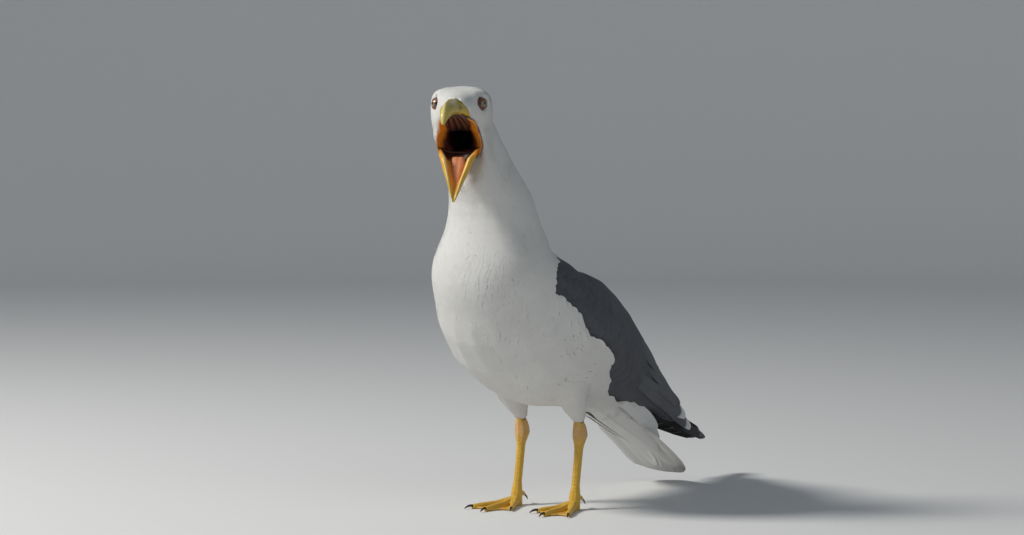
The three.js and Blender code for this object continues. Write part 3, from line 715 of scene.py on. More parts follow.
def ringed(name, rings, tint, material, flip=False):
    """A closed piece through a row of rings, capped at both ends, with painted shade at the hidden
    one.
    """
    inset = rings[0] + (rings[0].mean(0) - rings[0]) * 0.1
    rings = np.concatenate([inset[None], rings])
    tint = np.concatenate([tint[:1] * 0 + HIDDEN_END_SHADE, tint])
    count, sides, _ = rings.shape
    points = np.vstack([rings.reshape(-1, 3), rings[0].mean(0), rings[-1].mean(0)])
    first, last = count * sides, count * sides + 1
    faces = band_faces(count, sides)
    for side in range(sides):
        after = (side + 1) % sides
        faces.append((first, after, side))
        faces.append((last, (count - 1) * sides + side, (count - 1) * sides + after))
    if flip:
        faces = [face[::-1] for face in faces]
    mesh = bpy.data.meshes.new(name)
    mesh.from_pydata(points.tolist(), [], faces)
    paint(mesh, np.vstack([tint.reshape(-1, 3), HIDDEN_END_SHADE, tint[-1].mean(0)]))
    mesh.materials.append(material)
    made = new_object(name, mesh)
    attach(made, "root")
    return made


def horn(name, gloss):
    """Polished horn: a faint fine grain, a slightly cloudy colour, and a little light in it."""
    return surface(
        name, ("TexNoise", 700, 3), (0.2, 0.0002), gloss, (160, 5, 0.86, 1.1),
        (0.15, 0.002, 0.0012, 0.0003),
    )


def head_rings(rows, across, over):
    """Rings set along the head's rows: across and over are each ring's points, sideways and
    up from its centre, in millimetres."""
    rings = []
    for row, x, y in zip(rows, across, over):
        pitch = math.radians(row[6])
        dorsal = math.cos(pitch) * UPWARD - math.sin(pitch) * AHEAD
        centre = on_head(row[0], 0, row[1])
        rings.append(centre + MM * (x[:, None] * LEFTWARD + y[:, None] * dorsal))
    return np.array(rings)


def upper_bill():
    rows = carried(UPPER_BILL, 12)
    share = np.linspace(0, 1, len(rows))[:, None]
    turn = np.linspace(0, math.pi, 49)
    vault = np.linspace(-1, 1, 17)[1:-1]
    across, over = [], []
    for (_, _, w, t, b, n, _), to_tip in zip(rows, share.ravel()):
        hollow = np.clip(1.15 - to_tip * 1.25, 0, 1)
        x = w * power(np.cos(turn), 2 / n)
        round_top = t * power(np.sin(turn), 2 / n)
        ridge = t * np.sqrt(np.clip(1 - (x / (0.3 * w + 0.6)) ** 2, 0, 1))
        roof = np.clip(1 - np.abs(x / w), 0, 1) * 0.68 * t
        ridged = ramp(to_tip, 0.85, 0.35) * ramp(to_tip, 0.05, 0.25)
        y = ridged * (ridge**6 + roof**6) ** (1 / 6) + (1 - ridged) * round_top
        inner = 0.86 * w * vault
        ridges = 0.35 * np.cos(vault * 5 * math.pi) * hollow * (w / 8)
        roof = -0.8 * b + (0.95 * b + 0.1 * t) * hollow * (1 - np.abs(vault) ** 2.4) + ridges
        across.append(np.concatenate([x, [-0.97 * w, -0.9 * w], inner, [0.9 * w, 0.97 * w]]))
        over.append(np.concatenate([y, [-0.55 * b, -0.95 * b], roof, [-0.95 * b, -0.55 * b]]))
    rings = head_rings(rows, across, over)
    across, over = np.array(across), np.array(over)
    height = over / rows[:, 3:4]
    # Painted shade: the bill's sides behind the tip are darkened to olive.
    side = ramp(np.abs(height - 0.3), 0.5, 0) * np.clip(1.3 - 1.4 * share, 0, 1)
    # Painted highlight: the ridge along the top is paler.
    ridge = np.clip(height, 0, 1) ** 3
    edge = np.clip(-over / rows[:, 4:5] * 1.4, 0, 1) * np.clip(1 - 1.6 * share, 0, 1)
    under = np.concatenate([0 * turn, [0, 0], 0 * vault + 1, [0, 0]])
    pink = under * np.clip(1.7 - 2.2 * share, 0, 1)
    tint = mixed(np.zeros(rings.shape) + BILL_YELLOW, BILL_SIDE_SHADE, 0.55 * side[..., None])
    tint = mixed(tint, BILL_PALE, 0.6 * ridge[..., None])
    tint = mixed(tint, BILL_ORANGE, 0.5 * edge[..., None])
    tint = mixed(tint, PALATE_PINK, pink[..., None])
    ahead = (rings - on_head(0, 0, 0)) @ AHEAD / MM
    up = (rings - on_head(0, 0, 0)) @ UPWARD / MM
    off_line = up - NOSTRIL[1] + 0.06 * (ahead - NOSTRIL[0])
    slit = np.exp(-(((ahead - NOSTRIL[0]) / 3.2) ** 4) - ((off_line / 0.9) ** 2))
    slit = (slit * (np.abs(across) > 0.2 * rows[:, 2:3]))[..., None]
    rings -= (np.sign(across)[..., None] * 1.1 * LEFTWARD + 0.4 * UPWARD) * slit * MM
    # Painted shade: the nostril slit is darkened where it is sunk into the bill.
    tint = tint * (1 - 0.9 * slit)
    made = ringed("bill_upper", rings, tint, bill_horn)
    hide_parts("bill_upper")


def lower_bill():
    rows = carried(LOWER_BILL, 12)
    share = np.linspace(0, 1, len(rows))[:, None, None]
    turn = np.linspace(0, math.pi, 25)
    rim = np.linspace(0, 1, 8)[1:]
    trough = np.linspace(1, -1, 21)[1:-1]
    across, over = [], []
    for (_, _, w, t, b, _, _), to_tip in zip(rows, share.ravel()):
        hollow = np.clip(1.3 - to_tip * 1.35, 0, 1)
        width = RAMUS * w * np.clip(0.25 + to_tip * 4, 0, 1)
        keel = -b * np.sin(turn) ** 0.9 + t * 0.55 * np.abs(np.cos(turn)) ** 3
        lip = t * (0.5 + 0.5 * np.sin(rim * math.pi * 0.85) ** 0.8) * np.clip(0.2 + to_tip * 4, 0, 1)
        floor = t * 0.5 - (t * 0.5 + b * (0.9 - 0.3 * to_tip)) * hollow * (1 - np.abs(trough) ** 3)
        cheeks = -w * power(np.cos(turn), 0.85)
        inner = w - width * rim
        across.append(np.concatenate([cheeks, inner, (w - width) * trough, -inner[::-1]]))
        over.append(np.concatenate([keel, lip, floor, lip[::-1]]))
    on_rim = np.concatenate([0 * turn, rim, 0 * trough, rim[::-1]])[None, :, None]
    inside = np.concatenate([0 * turn, 0 * rim, 0 * trough + 1, 0 * rim])[None, :, None]
    rings = head_rings(rows, across, over)
    orange = np.clip(1.1 - 1.3 * share, 0, 1) * 0.85
    pale = ramp(np.abs(on_rim - 0.8), 0.25, 0) * (on_rim > 0) * 0.85
    tint = mixed(np.zeros(rings.shape) + BILL_YELLOW, BILL_ORANGE, orange)
    tint = mixed(tint, BILL_PALE, pale)
    ahead = (rings - on_head(0, 0, 0)) @ AHEAD / MM
    up = (rings - on_head(0, 0, 0)) @ UPWARD / MM
    # Painted shade: the mouth's floor in the lower bill darkens from orange to maroon and then black
    # towards its rear.
    gutter = mixed(GUTTER_ORANGE, MOUTH_MAROON_IN_SHADE, ramp(up, -53, -47)[..., None])
    gutter = mixed(gutter, THROAT_PAINTED_SHADOW, ramp(up, -47, -41)[..., None])
    inside = inside * np.clip(2.2 - 2.0 * share, 0, 1)
    tint = mixed(tint, gutter, inside)
    # The rearmost rings take the gape's orange outside and a painted-shade maroon inside.
    rear = ramp(np.arange(len(rows)), 9, 0)[:, None, None]
    tint = mixed(tint, np.where(inside > 0, MOUTH_MAROON_IN_SHADE * 0.5, LIP_ORANGE), rear)
    spot = np.exp(-(((ahead - SPOT[0]) / 5) ** 4) - (((up - SPOT[1]) / 5.5) ** 4))
    spot = (spot * (np.array(over) < 1))[..., None] * (1 - inside) * (on_rim == 0)
    tint = mixed(tint, SPOT_RED, 0.9 * spot)
    made = ringed("bill_lower", rings, tint, bill_horn)
    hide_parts("bill_lower")


bill_horn = horn("bill_horn", 0.3)
upper_bill()
lower_bill()

# ---------------------------------------------------------------- mouth
# Moist flesh, stretched wide: orange at the corners of the gape, darkening with painted shade to a
# black throat.
# The tongue is a narrow pink blade with a groove, barbed at the back, lying in the lower bill.
LIP_YELLOW = np.array([0.78, 0.36, 0.02])
LIP_BROWN = np.array([0.22, 0.045, 0.01])
TONGUE_PINK = np.array([0.66, 0.26, 0.12])
PALATE_SHADOW = np.array([0.05, 0.016, 0.01])
MOUTH_GRAIN = 0.7 * MM
NARROWING = 0.27  # how much the walls of the mouth draw in towards the gullet
FLOOR_DROP = 49  # the lining's floor is drawn up to about this far below the eyes
# The palate's rows are ahead, up and half width, and the tongue's are as the bill's.
PALATE = [
    (58, -9.2, 4.4),
    (44, -9.6, 6.0),
    (32, -11.5, 7.8),
    (22, -14.5, 9.4),
    (12, -18, 11.2),
    (4, -21, 12.4),
    (-1, -24, 12.4),
]
TONGUE = [
    (6.5, -46.5, 5.4, 1.8, 1.2, 2, -58),
    (11.5, -53.5, 6, 2.2, 1.6, 2, -58),
    (16.6, -61.5, 4.4, 2, 1.4, 2, -58),
    (21.4, -69.5, 2.2, 1.4, 1, 2, -58),
    (23.6, -73.5, 0.9, 0.8, 0.6, 2, -58),
]


def moist(name):
    """Wet flesh, wrinkled and uneven in its colour, and the shader that gives it."""
    material = surface(
        name, ("TexNoise", 300, 4), (0.35, 0.0006), 0.28, (300, 4, 0.75, 1.15),
        (0.15, 0.003, 0.001, 0.0005),
    )
    shader = material.node_tree.nodes["Principled BSDF"]
    shader.inputs["Coat Weight"].default_value = 0.4
    shader.inputs["Coat Roughness"].default_value = 0.1
    return material, shader


def mouth_lining():
    """The fleshy corners of the gape and the walls that narrow from them to the gullet."""
    mesh = drawn_over(as_mesh("mouth", gathered(["gape", "throat"])), MOUTH_GRAIN)
    points = smoothed(mesh, corners_of(mesh), 8)
    inward = -((points - MOUTH_MIDDLE) @ MOUTH_OUTWARD) / MM
    spread = points - MOUTH_MIDDLE + MOUTH_OUTWARD * (inward * MM)[:, None]
    narrowing = ramp(inward, -9, 3)
    narrowing = narrowing**2 * (3 - 2 * narrowing)
    points = points - spread * (NARROWING * narrowing)[:, None]
    drop = (on_head(0, 0, 0)[2] - points[:, 2]) / MM
    flare = np.exp(-(((drop - 22) / 13) ** 2)) * ramp(inward, 5, -1) * 0.13
    tuck = ramp(drop, 42, 54) * 0.45 - flare
    points = points - LEFTWARD * ((points - MOUTH_MIDDLE) @ LEFTWARD * tuck)[:, None]
    points[:, 2] += np.maximum(drop - FLOOR_DROP, 0) * 0.85 * MM
    reshape(mesh, points)
    normals = normals_of(mesh)
    round_it = np.arctan2(spread @ LEFTWARD, spread[:, 2])
    folds = 0.2 * np.sin(26 * round_it) * ramp(inward, -2, 4)
    reshape(mesh, points + normals * (folds * MM)[:, None])
    aside = np.abs((points - MOUTH_MIDDLE) @ LEFTWARD) / MM
    outer = np.clip((normals * unit(spread)).sum(1) * 2 - 0.6, 0, 1) * 0.8
    tint = np.tile(LIP_ORANGE, (len(points), 1))
    for colour, share in (
        (LIP_YELLOW, ramp(inward, -9, -15)),
        (LIP_BROWN, outer),
        # Painted shade: the lining darkens under the palate, then to maroon and black the deeper it
        # goes into the gullet.
        (PALATE_SHADOW, ramp(drop, 24, 20) * ramp(aside, 12, 10)),
        (MOUTH_MAROON_IN_SHADE, ramp(drop, 27, 32) * ramp(aside, 16.5, 13.5)),
        (MOUTH_MAROON_IN_SHADE, ramp(inward, -2, 2)),
        (THROAT_PAINTED_SHADOW, ramp(inward, 1, 6)),
    ):
        tint = mixed(tint, colour, share[:, None])
    paint(mesh, tint)
    mesh.materials.clear()
    mesh.materials.append(moist_flesh)
    # The deep faces take the shadowed gullet's dull finish: painted shadow.
    mesh.materials.append(shadowed_gullet)
    deep = [inward[list(face.vertices)].mean() > 5 for face in mesh.polygons]
    mesh.polygons.foreach_set("material_index", [int(far) for far in deep])
    made = new_object("mouth_lining", mesh)
    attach(made, "root")
    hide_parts("gape", "throat")


def palate():
    """The ribbed roof of the mouth, which slopes down to the gullet, rough with papillae."""
    rows = carried(PALATE, 12)
    under = np.linspace(-1, 1, 61)
    above = np.linspace(1, -1, 13)
    across, over, ridged = [], [], []
    for i, (_, _, w) in enumerate(rows):
        ribs = 0.5 + 0.5 * np.cos(under * 4.5 * math.pi)
        grain = 0.5 + 0.5 * np.sin(i * 1.9 + 2 * np.sin(under * 9))
        rise = 0.8 * ribs * (0.55 + 0.45 * grain) * (1 - under**8)
        across.append(np.concatenate([w * under, w * 0.9 * above]))
        over.append(np.concatenate([1.6 * (1 - under**2) - rise, 0 * above + 3]))
        ridged.append(np.concatenate([ribs * (0.5 + 0.5 * grain), 0 * above]))
    rows = np.column_stack([rows[:, :2], np.zeros((len(rows), 5))])
    rings = head_rings(rows, across, over)
    back = ramp(np.linspace(0, 1, len(rows)), 0.72, 1)[:, None, None]
    # Painted shadow: the palate's grooves are dark and its back end goes black towards the gullet.
    tint = mixed(PALATE_SHADOW, PALATE_PINK, np.array(ridged)[..., None])
    tint = mixed(tint, THROAT_PAINTED_SHADOW, back)
    made = ringed("palate", rings, tint, moist_flesh)


def tongue():
    rows = carried(TONGUE, 10)
    turn = np.linspace(0, 2 * math.pi, 36, endpoint=False)
    across, over = [], []
    for i, (_, _, w, t, b, _, _) in enumerate(rows):
        x = w * np.cos(turn)
        y = np.where(np.sin(turn) > 0, t, b) * np.sin(turn)
        groove = 0.35 * t * (1 - i / len(rows)) * np.exp(-((x / (0.22 * w)) ** 2))
        y -= groove * (np.sin(turn) > 0)
        barbs = 0.06 if i < 4 else 0
        across.append(x * (1 + barbs * np.sin(9 * turn)))
        over.append(y)
    rings = head_rings(rows, across, over)
    tint = np.zeros(rings.shape) + TONGUE_PINK
    made = ringed("tongue", rings, tint, moist_flesh, flip=True)
    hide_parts("tongue")


moist_flesh, _ = moist("moist_flesh")
# The gullet's finish is dull so that the throat stays dark: painted shadow.
shadowed_gullet, gullet = moist("shadowed_gullet")
gullet.inputs["Roughness"].default_value = 0.9
gullet.inputs["Specular IOR Level"].default_value = 0.05
gullet.inputs["Coat Weight"].default_value = 0.0
mouth_lining()
palate()
tongue()

# ---------------------------------------------------------------- contour feathers
# Some thousands of small curved vanes cover the bird like tiles: each grows from the skin, lies
# over the ones behind it and ends in a soft frayed edge. They are shortest round the bill and
# eyes and longest on the flanks and back.
SKIN_UVS = np.zeros(len(body_mesh.loops) * 2)
body_mesh.uv_layers["OFBake"].data.foreach_get("uv", SKIN_UVS)
SKIN_UVS = SKIN_UVS[: len(SKIN_QUADS) * 8].reshape(-1, 4, 2)
QUAD_MIDDLES = below[SKIN_QUADS].mean(1)
QUAD_NORMALS = unit(SKIN_NORMALS[SKIN_QUADS].mean(1))
QUAD_DIAGONALS = [below[SKIN_QUADS[:, k + 2]] - below[SKIN_QUADS[:, k]] for k in (0, 1)]
QUAD_AREAS = np.linalg.norm(np.cross(*QUAD_DIAGONALS), axis=1) / 2
PATCH = 0.003  # side of each feather's patch on the skin's unwrap
CUT_END = 0.55  # how squarely the skin may face along the coat before it grows no feathers
STRAIGHT_FROM = -158  # behind here a feather runs straight on past the end of the flesh
BELLY_END = -75  # behind here only the wings' outer sides bear a coat
THIGH_END = [86, 108]  # down a thigh the feathers shorten between these heights
LENGTH_SPREAD, DEPTH_SPREAD = (0.88, 1.15), (0.98, 1.02)
ROUNDING = 0.42  # how much shorter a feather is at its sides than down its middle
QUILL_SUNK = 0.3 * MM
SOFT_THICKNESS = 0.07 * MM  # at most, and less where the coat is thin
GREY_DEPTH = 3  # so that the white flank feathers lie over the grey ones where they meet
SHOWN = 0.55  # how far along a feather is the part that shows, which has its colour
LID_REACH = (6.4, 5.5)  # no feather grows or ends this near to the middle of an eye
quad_forward = forward_of(QUAD_MIDDLES)
quad_up = QUAD_MIDDLES[:, 2] / MM
quad_side = QUAD_MIDDLES[:, 0] / MM
quad_way, quad_length, _ = coat_at(QUAD_MIDDLES)
quad_grey = is_grey(QUAD_MIDDLES + quad_way * quad_length[:, None] * SHOWN)
OUTWARD = np.stack([np.sign(quad_side) * 0.8, quad_side * 0, quad_side * 0 + 0.6], -1)


def feather_material(name, roughness, barb_depth, barbs, see_through):
    """Vanes take their colour from the plumage, with barbs combed out from the shaft."""
    material, shader, add, link = new_material(name)

    def worked(operation, value, by=0.0):
        node = add("Math", operation=operation)
        link(value, node.inputs[0])
        if isinstance(by, float):
            node.inputs[1].default_value = by
        else:
            link(by, node.inputs[1])
        return node.outputs[0]

    parts = add("SeparateXYZ")
    link(add("UVMap", uv_map="Vane").outputs["UV"], parts.inputs[0])
    aside = worked("ABSOLUTE", worked("SUBTRACT", parts.outputs["X"], 0.5))
    slant = worked("SUBTRACT", parts.outputs["Y"], aside)
    bump = add("Bump", Strength=barb_depth, Distance=0.0004)
    link(worked("SINE", worked("MULTIPLY", slant, barbs)), bump.inputs["Height"])
    link(bump.outputs[0], shader.inputs["Normal"])
    colour = mottled_colour(add, link, 28, 3, 0.93, 1.04)
    link(colour, shader.inputs["Base Color"])
    shader.inputs["Roughness"].default_value = roughness
    shader.inputs["Specular IOR Level"].default_value = 0.25
    shader.inputs["Sheen Weight"].default_value = 0.1
    through = add("BsdfTranslucent")
    link(colour, through.inputs["Color"])
    blend = add("MixShader")
    blend.inputs[0].default_value = see_through
    link(shader.outputs[0], blend.inputs[1])
    link(through.outputs[0], blend.inputs[2])
    link(blend.outputs[0], material.node_tree.nodes["Material Output"].inputs["Surface"])
    return material


def scatter(keep, spacing, dice):
    """Roots spread evenly over the kept squares of the skin, spacing times the feathers'
    length apart, with the square and the corner weights of each."""
    squares = np.where(keep)[0]
    gaps = coat_at(QUAD_MIDDLES[squares])[1] * spacing
    share = QUAD_AREAS[squares] / gaps**2
    chosen = dice.choice(squares, int(share.sum() * 5), p=share / share.sum())
    across, down = dice.random((2, len(chosen)))
    weights = np.stack(
        [(1 - across) * (1 - down), across * (1 - down), across * down, (1 - across) * down], 1
    )
    points = np.einsum("nc,ncx->nx", weights, below[SKIN_QUADS[chosen]])
    gaps = coat_at(points)[1] * spacing
    cell = gaps.max()
    taken = {}
    kept = []
    for i, (point, gap) in enumerate(zip(points.tolist(), gaps.tolist())):
        x, y, z = (int(c // cell) for c in point)
        near = (
            other
            for dx in (-1, 0, 1)
            for dy in (-1, 0, 1)
            for dz in (-1, 0, 1)
            for other in taken.get((x + dx, y + dy, z + dz), ())
        )
        if all(math.dist(point, other) > gap for other in near):
            taken.setdefault((x, y, z), []).append(point)
            kept.append(i)
    kept = np.array(kept)
    return points[kept], chosen[kept], weights[kept]


def vane_faces(rows, columns):
    """Squares of one closed vane, a sheet above and one below that share their rim."""
    top = np.arange((rows + 1) * (columns + 1)).reshape(rows + 1, columns + 1)
    under = top.copy()
    inner = (rows - 1) * (columns - 1)
    under[1:-1, 1:-1] = top.size + np.arange(inner).reshape(rows - 1, columns - 1)

    def squares(grid):
        return np.stack([grid[:-1, :-1], grid[:-1, 1:], grid[1:, 1:], grid[1:, :-1]], -1)

    return np.concatenate(
        [squares(top).reshape(-1, 4)[:, ::-1], squares(under).reshape(-1, 4)]
    ), top.size + inner


def vane_normals(grids, ups, evenness):
    """The way out at each point of the vanes, drawn towards the skin's by `evenness`."""
    own = unit(np.cross(np.gradient(grids, axis=1), np.gradient(grids, axis=2)))
    flatness = np.clip(((own * ups).sum(-1, keepdims=True) - 0.2) / 0.4, 0, 1)
    return unit(own * (1 - evenness * flatness) + ups * evenness * flatness)


def feather_mesh(name, grids, ups, thickness, colours, patches, material, evenness):
    """A mesh of many vanes. grids holds each vane's rows and columns of points, ups the way
    out at each, and patches the place of each root on the skin's unwrap."""
    count, high, wide, _ = grids.shape
    faces, each = vane_faces(high - 1, wide - 1)
    down = grids[:, 1:-1, 1:-1] - ups[:, 1:-1, 1:-1] * thickness[:, None, None, None]
    points = np.concatenate([grids.reshape(count, -1, 3), down.reshape(count, -1, 3)], 1)
    along, across = np.meshgrid(np.linspace(0, 1, high), np.linspace(0, 1, wide), indexing="ij")
    local = np.stack([across, along], -1)
    local = np.concatenate([local.reshape(-1, 2), local[1:-1, 1:-1].reshape(-1, 2)])
    shades = np.concatenate(
        [colours.reshape(count, -1, 3), colours[:, 1:-1, 1:-1].reshape(count, -1, 3)], 1
    )
    squares = (faces[None] + (np.arange(count) * each)[:, None, None]).reshape(-1)
    mesh = bpy.data.meshes.new(name)
    mesh.vertices.add(count * each)
    mesh.vertices.foreach_set("co", points.astype(np.float32).ravel())
    mesh.loops.add(len(squares))
    mesh.loops.foreach_set("vertex_index", squares.astype(np.int32))
    mesh.polygons.add(len(squares) // 4)
    mesh.polygons.foreach_set("loop_start", np.arange(0, len(squares), 4, dtype=np.int32))
    mesh.update(calc_edges=True)
    made = new_object(name, mesh)
    at_corner = squares % each
    owner = squares // each
    vane = mesh.uv_layers.new(name="Vane")
    vane.data.foreach_set("uv", local[at_corner].astype(np.float32).ravel())
    bake = mesh.uv_layers.new(name="OFBake")
    spread = patches[owner] + (local[at_corner] - 0.5) * PATCH
    bake.data.foreach_set("uv", spread.astype(np.float32).ravel())
    paint(mesh, shades.reshape(-1, 3))
    out = vane_normals(grids, ups, evenness)
    out = np.concatenate([out.reshape(count, -1, 3), out[:, 1:-1, 1:-1].reshape(count, -1, 3)], 1)
    out = out[owner, at_corner]
    beneath = np.tile(np.repeat([False, True], len(faces) * 2), count)
    out[beneath] *= -1
    mesh.normals_split_custom_set(out.tolist())
    mesh.materials.append(material)
    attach(made, "root")
    return made


def contour_feathers(name, keep, shape, dice, material):
    """Feathers rooted over the kept squares of the skin, each laid along it and lifted to the
    coat's surface. shape says how many rows and columns, how close, how wide and how frayed."""
    facing = (QUAD_NORMALS * coat_at(QUAD_MIDDLES)[0]).sum(1)
    turned_in = (QUAD_NORMALS * OUTWARD).sum(1) < 0.1
    bald = (quad_forward < BELLY_END) & (~quad_grey | turned_in)
    bald |= (quad_forward < STRAIGHT_FROM) & (facing > CUT_END)
    roots, squares, weights = scatter(keep & ~bald, shape["spacing"], dice)
    clear = (distance_to(BARE, roots, 3 * MM) > 0.7 * MM) & ~within_mouth(roots)
    way, length, _ = coat_at(roots)
    for hand in (1, -1):
        middle, look, ahead, over = eye_axes(hand)
        for spots in (roots, roots + way * length[:, None] * 0.75):
            away = spots - middle
            off = np.hypot(away @ ahead / LID_REACH[0], away @ over / LID_REACH[1])
            clear &= (off > MM) | (away @ look < 0)
    roots, squares, weights = roots[clear], squares[clear], weights[clear]
    patches = np.einsum("nc,ncx->nx", weights, SKIN_UVS[squares])
    count = len(roots)
    rows, columns = shape["rows"], shape["columns"]
    centre, up = settle(roots, np.full(count, 1.0))
    way, length, depth = coat_at(roots)
    length = length * dice.uniform(*LENGTH_SPREAD, count)
    shown = roots + way * length[:, None] * SHOWN
    grey = is_grey(shown)
    depth = np.where(grey, np.minimum(depth, GREY_DEPTH * MM), depth)
    near_bare = fullness(roots)
    depth = depth * near_bare * dice.uniform(*DEPTH_SPREAD, count)
    length = length * np.clip(near_bare * 1.6, 0.45, 1)
    low = np.interp(roots[:, 2] / MM, THIGH_END, [0.45, 1])
    length = np.where(roots[:, 1] < 0, length * low, length)
    swerve = dice.normal(0, shape["swerve"], count)[:, None]
    across = np.linspace(-1, 1, columns + 1)
    fray = dice.uniform(-shape["fray"], shape["fray"], (count, columns + 1))
    column_length = 1 - ROUNDING * np.abs(across) ** 2.4 + fray
    half = length * shape["width"] / 2
    tip_rows = np.linspace(0, 1, rows + 1) ** 0.9
    profile = np.interp(tip_rows, [0, 0.2, 0.55, 0.8, 1], [0.3, 0.75, 1, 1, 0.85])
    heights = 1 - (1 - tip_rows) ** 4
    grid = np.empty((count, rows + 1, columns + 1, 3))
    ups = np.empty_like(grid)
    spine = [centre]
    heading = flat_to(up, way + swerve * np.cross(up, way))
    headings = [heading]
    rises = [up]
    straight = (forward_of(roots) < STRAIGHT_FROM)[:, None]
    for row in range(1, rows + 1):
        step = length * (tip_rows[row] - tip_rows[row - 1])
        target = spine[-1] + heading * step[:, None]
        centre, up = settle(target, 0.7 * step)
        way = coat_at(centre)[0]
        heading = flat_to(up, way + swerve * np.cross(up, way))
        spine.append(np.where(straight, target, centre))
        headings.append(np.where(straight, headings[0], heading))
        rises.append(np.where(straight, rises[0], up))
        heading = headings[-1]
    for row in range(rows + 1):
        aside = np.cross(rises[row], headings[row])
        for column in range(columns + 1):
            shift = across[column] * profile[row] * half
            short = (column_length[:, column] - 1) * length * tip_rows[row]
            on_from = headings[row] * short[:, None]
            target = spine[row] + aside * shift[:, None]
            beside = np.where(straight, target - spine[row] + roots, target + on_from)
            base, rise = settle(beside, half)
            base = np.where(straight, base + spine[row] - roots + on_from, base)
            lift = depth * heights[row] - shape["cup"] * MM * across[column] ** 2 * tip_rows[row]
            grid[:, row, column] = base + rise * (lift - QUILL_SUNK * (row == 0))[:, None]
            ups[:, row, column] = rise
    shades = plumage_colour(shown)[:, None, None, :] * np.ones(grid.shape)
    shades *= dice.normal(1, shape["mottle"], count)[:, None, None, None].clip(0.88, 1.12)
    edge = np.maximum(np.abs(across)[None, :] ** 4, (tip_rows**6)[:, None])
    pale = 1 + shape["pale_edge"] * edge[None, :, :, None] * grey[:, None, None, None]
    colours = shades * pale
    thickness = np.minimum(depth * 0.2, SOFT_THICKNESS)
    sideways = np.linalg.norm(np.diff(grid, axis=2), axis=-1).max((1, 2))
    lengthways = np.linalg.norm(np.diff(grid, axis=1), axis=-1).max((1, 2))
    whole = sideways < 5 * half / columns + 0.35 * length + 1.5 * MM
    whole &= lengthways < 0.9 * length + 2 * depth
    made = feather_mesh(
        name, grid[whole], ups[whole], thickness[whole], colours[whole], patches[whole], material,
        shape["even"],
    )


soft_vane = feather_material("soft_vane", 0.85, 0.12, 150.0, 0.3)
SOFT = dict(swerve=0.08, pale_edge=0, mottle=0.01)
FACE_SHAPE = dict(rows=3, columns=6, spacing=0.24, width=0.62, fray=0.06, cup=0.1, even=0.8, **SOFT)
NECK_SHAPE = dict(rows=4, columns=8, spacing=0.19, width=0.62, fray=0.05, cup=0.12, even=0.85, **SOFT)
BODY_SHAPE = dict(rows=4, columns=10, spacing=0.17, width=0.7, fray=0.04, cup=0.15, even=0.85, **SOFT)
BACK_SHAPE = dict(rows=5, columns=8, spacing=0.2, width=0.8, fray=0.012, cup=0.4, even=0.45)
BACK_SHAPE |= dict(swerve=0.04, pale_edge=0.2, mottle=0.05)
off_head = np.linalg.norm(QUAD_MIDDLES - on_head(-6, 0, -18), axis=1) / MM
on_face = off_head < 52
uneven = np.random.default_rng(90).normal(0, 12, len(quad_up))
on_neck = ~on_face & (quad_up + uneven > 256) & (quad_forward > 40)
on_body = ~on_face & ~on_neck & ~quad_grey
breast = on_body & (quad_forward > 70)
belly = on_body & (np.abs(quad_forward - 35) <= 35)
left = quad_side > 0
COAT = [
    ("feathers_face", on_face & (off_head < 34), FACE_SHAPE),
    ("feathers_nape", on_face & (off_head >= 34), FACE_SHAPE),
    ("feathers_neck", on_neck, NECK_SHAPE),
    ("feathers_breast_left", breast & left, BODY_SHAPE),
    ("feathers_breast_right", breast & ~left, BODY_SHAPE),
    ("feathers_belly_left", belly & left, BODY_SHAPE),
    ("feathers_belly_right", belly & ~left, BODY_SHAPE),
    ("feathers_rump", on_body & (quad_forward < 0), BODY_SHAPE),
    ("feathers_back", quad_grey & (np.abs(quad_side) < 45), BACK_SHAPE),
    ("feathers_wing_left", quad_grey & (quad_side >= 45), BACK_SHAPE),
    ("feathers_wing_right", quad_grey & (quad_side <= -45), BACK_SHAPE),
]
for seed, (name, keep, shape) in enumerate(COAT):
    contour_feathers(name, keep, shape, np.random.default_rng(seed), soft_vane)

# ---------------------------------------------------------------- wings
# The long feathers of a folded wing, each a stiff vane on a shaft: six black primaries with thin
# grey tips that reach out past the tail, two grey tertials tipped with white over them, four grey
# secondaries at the wing's lower edge and six grey scapulars. Their quills are set in its flesh.
# Each row is root and tip (side, forward, up), the way its face looks, width and arch.
PRIMARIES = [
    ((16, -110, 88), (4, -292, 39), (0.8, 0, 0.6), 20, 3),
    ((17, -108, 91), (5, -284, 42), (0.8, 0, 0.6), 21, 3),
    ((18, -106, 94), (6, -270, 46.5), (0.8, 0, 0.6), 22, 3),
    ((19, -104, 97), (7, -252, 52), (0.8, 0, 0.6), 22, 3),
    ((20, -102, 100), (8, -233, 58), (0.8, 0, 0.6), 22, 4),
    ((21, -100, 103), (9.5, -214, 64), (0.8, 0, 0.6), 22, 4),
]
TERTIALS = [
    ((30, -118, 100), (11, -247, 57), (0.8, 0, 0.6), 26, 2),
    ((31, -108, 110), (14, -231, 70), (0.8, 0, 0.6), 28, 2),
]
SCAPULARS = [
    ((32, -100, 120), (17, -211, 84), (0.75, 0, 0.66), 30, 2),
    ((32, -88, 132), (19, -190, 99), (0.7, 0, 0.7), 32, 2),
    ((31, -76, 146), (21, -166, 116), (0.65, 0, 0.75), 32, 2),
    ((10, -100, 150), (6, -214, 84), (0.12, 0, 0.99), 26, 3),
    ((12, -86, 160), (8, -192, 100), (0.16, 0, 0.99), 30, 3),
    ((14, -70, 168), (9, -168, 117), (0.2, 0, 0.98), 34, 3),
]
SECONDARIES = [
    ((50, -96, 108), (24, -196, 73), (0.93, 0, 0.36), 17, 1),
    ((53, -84, 112), (29, -178, 78), (0.93, 0, 0.36), 18, 1),
    ((56, -70, 117), (35, -160, 83), (0.93, 0, 0.36), 18, 1),
    ((58, -58, 122), (41, -142, 88), (0.93, 0, 0.36), 18, 1),
]
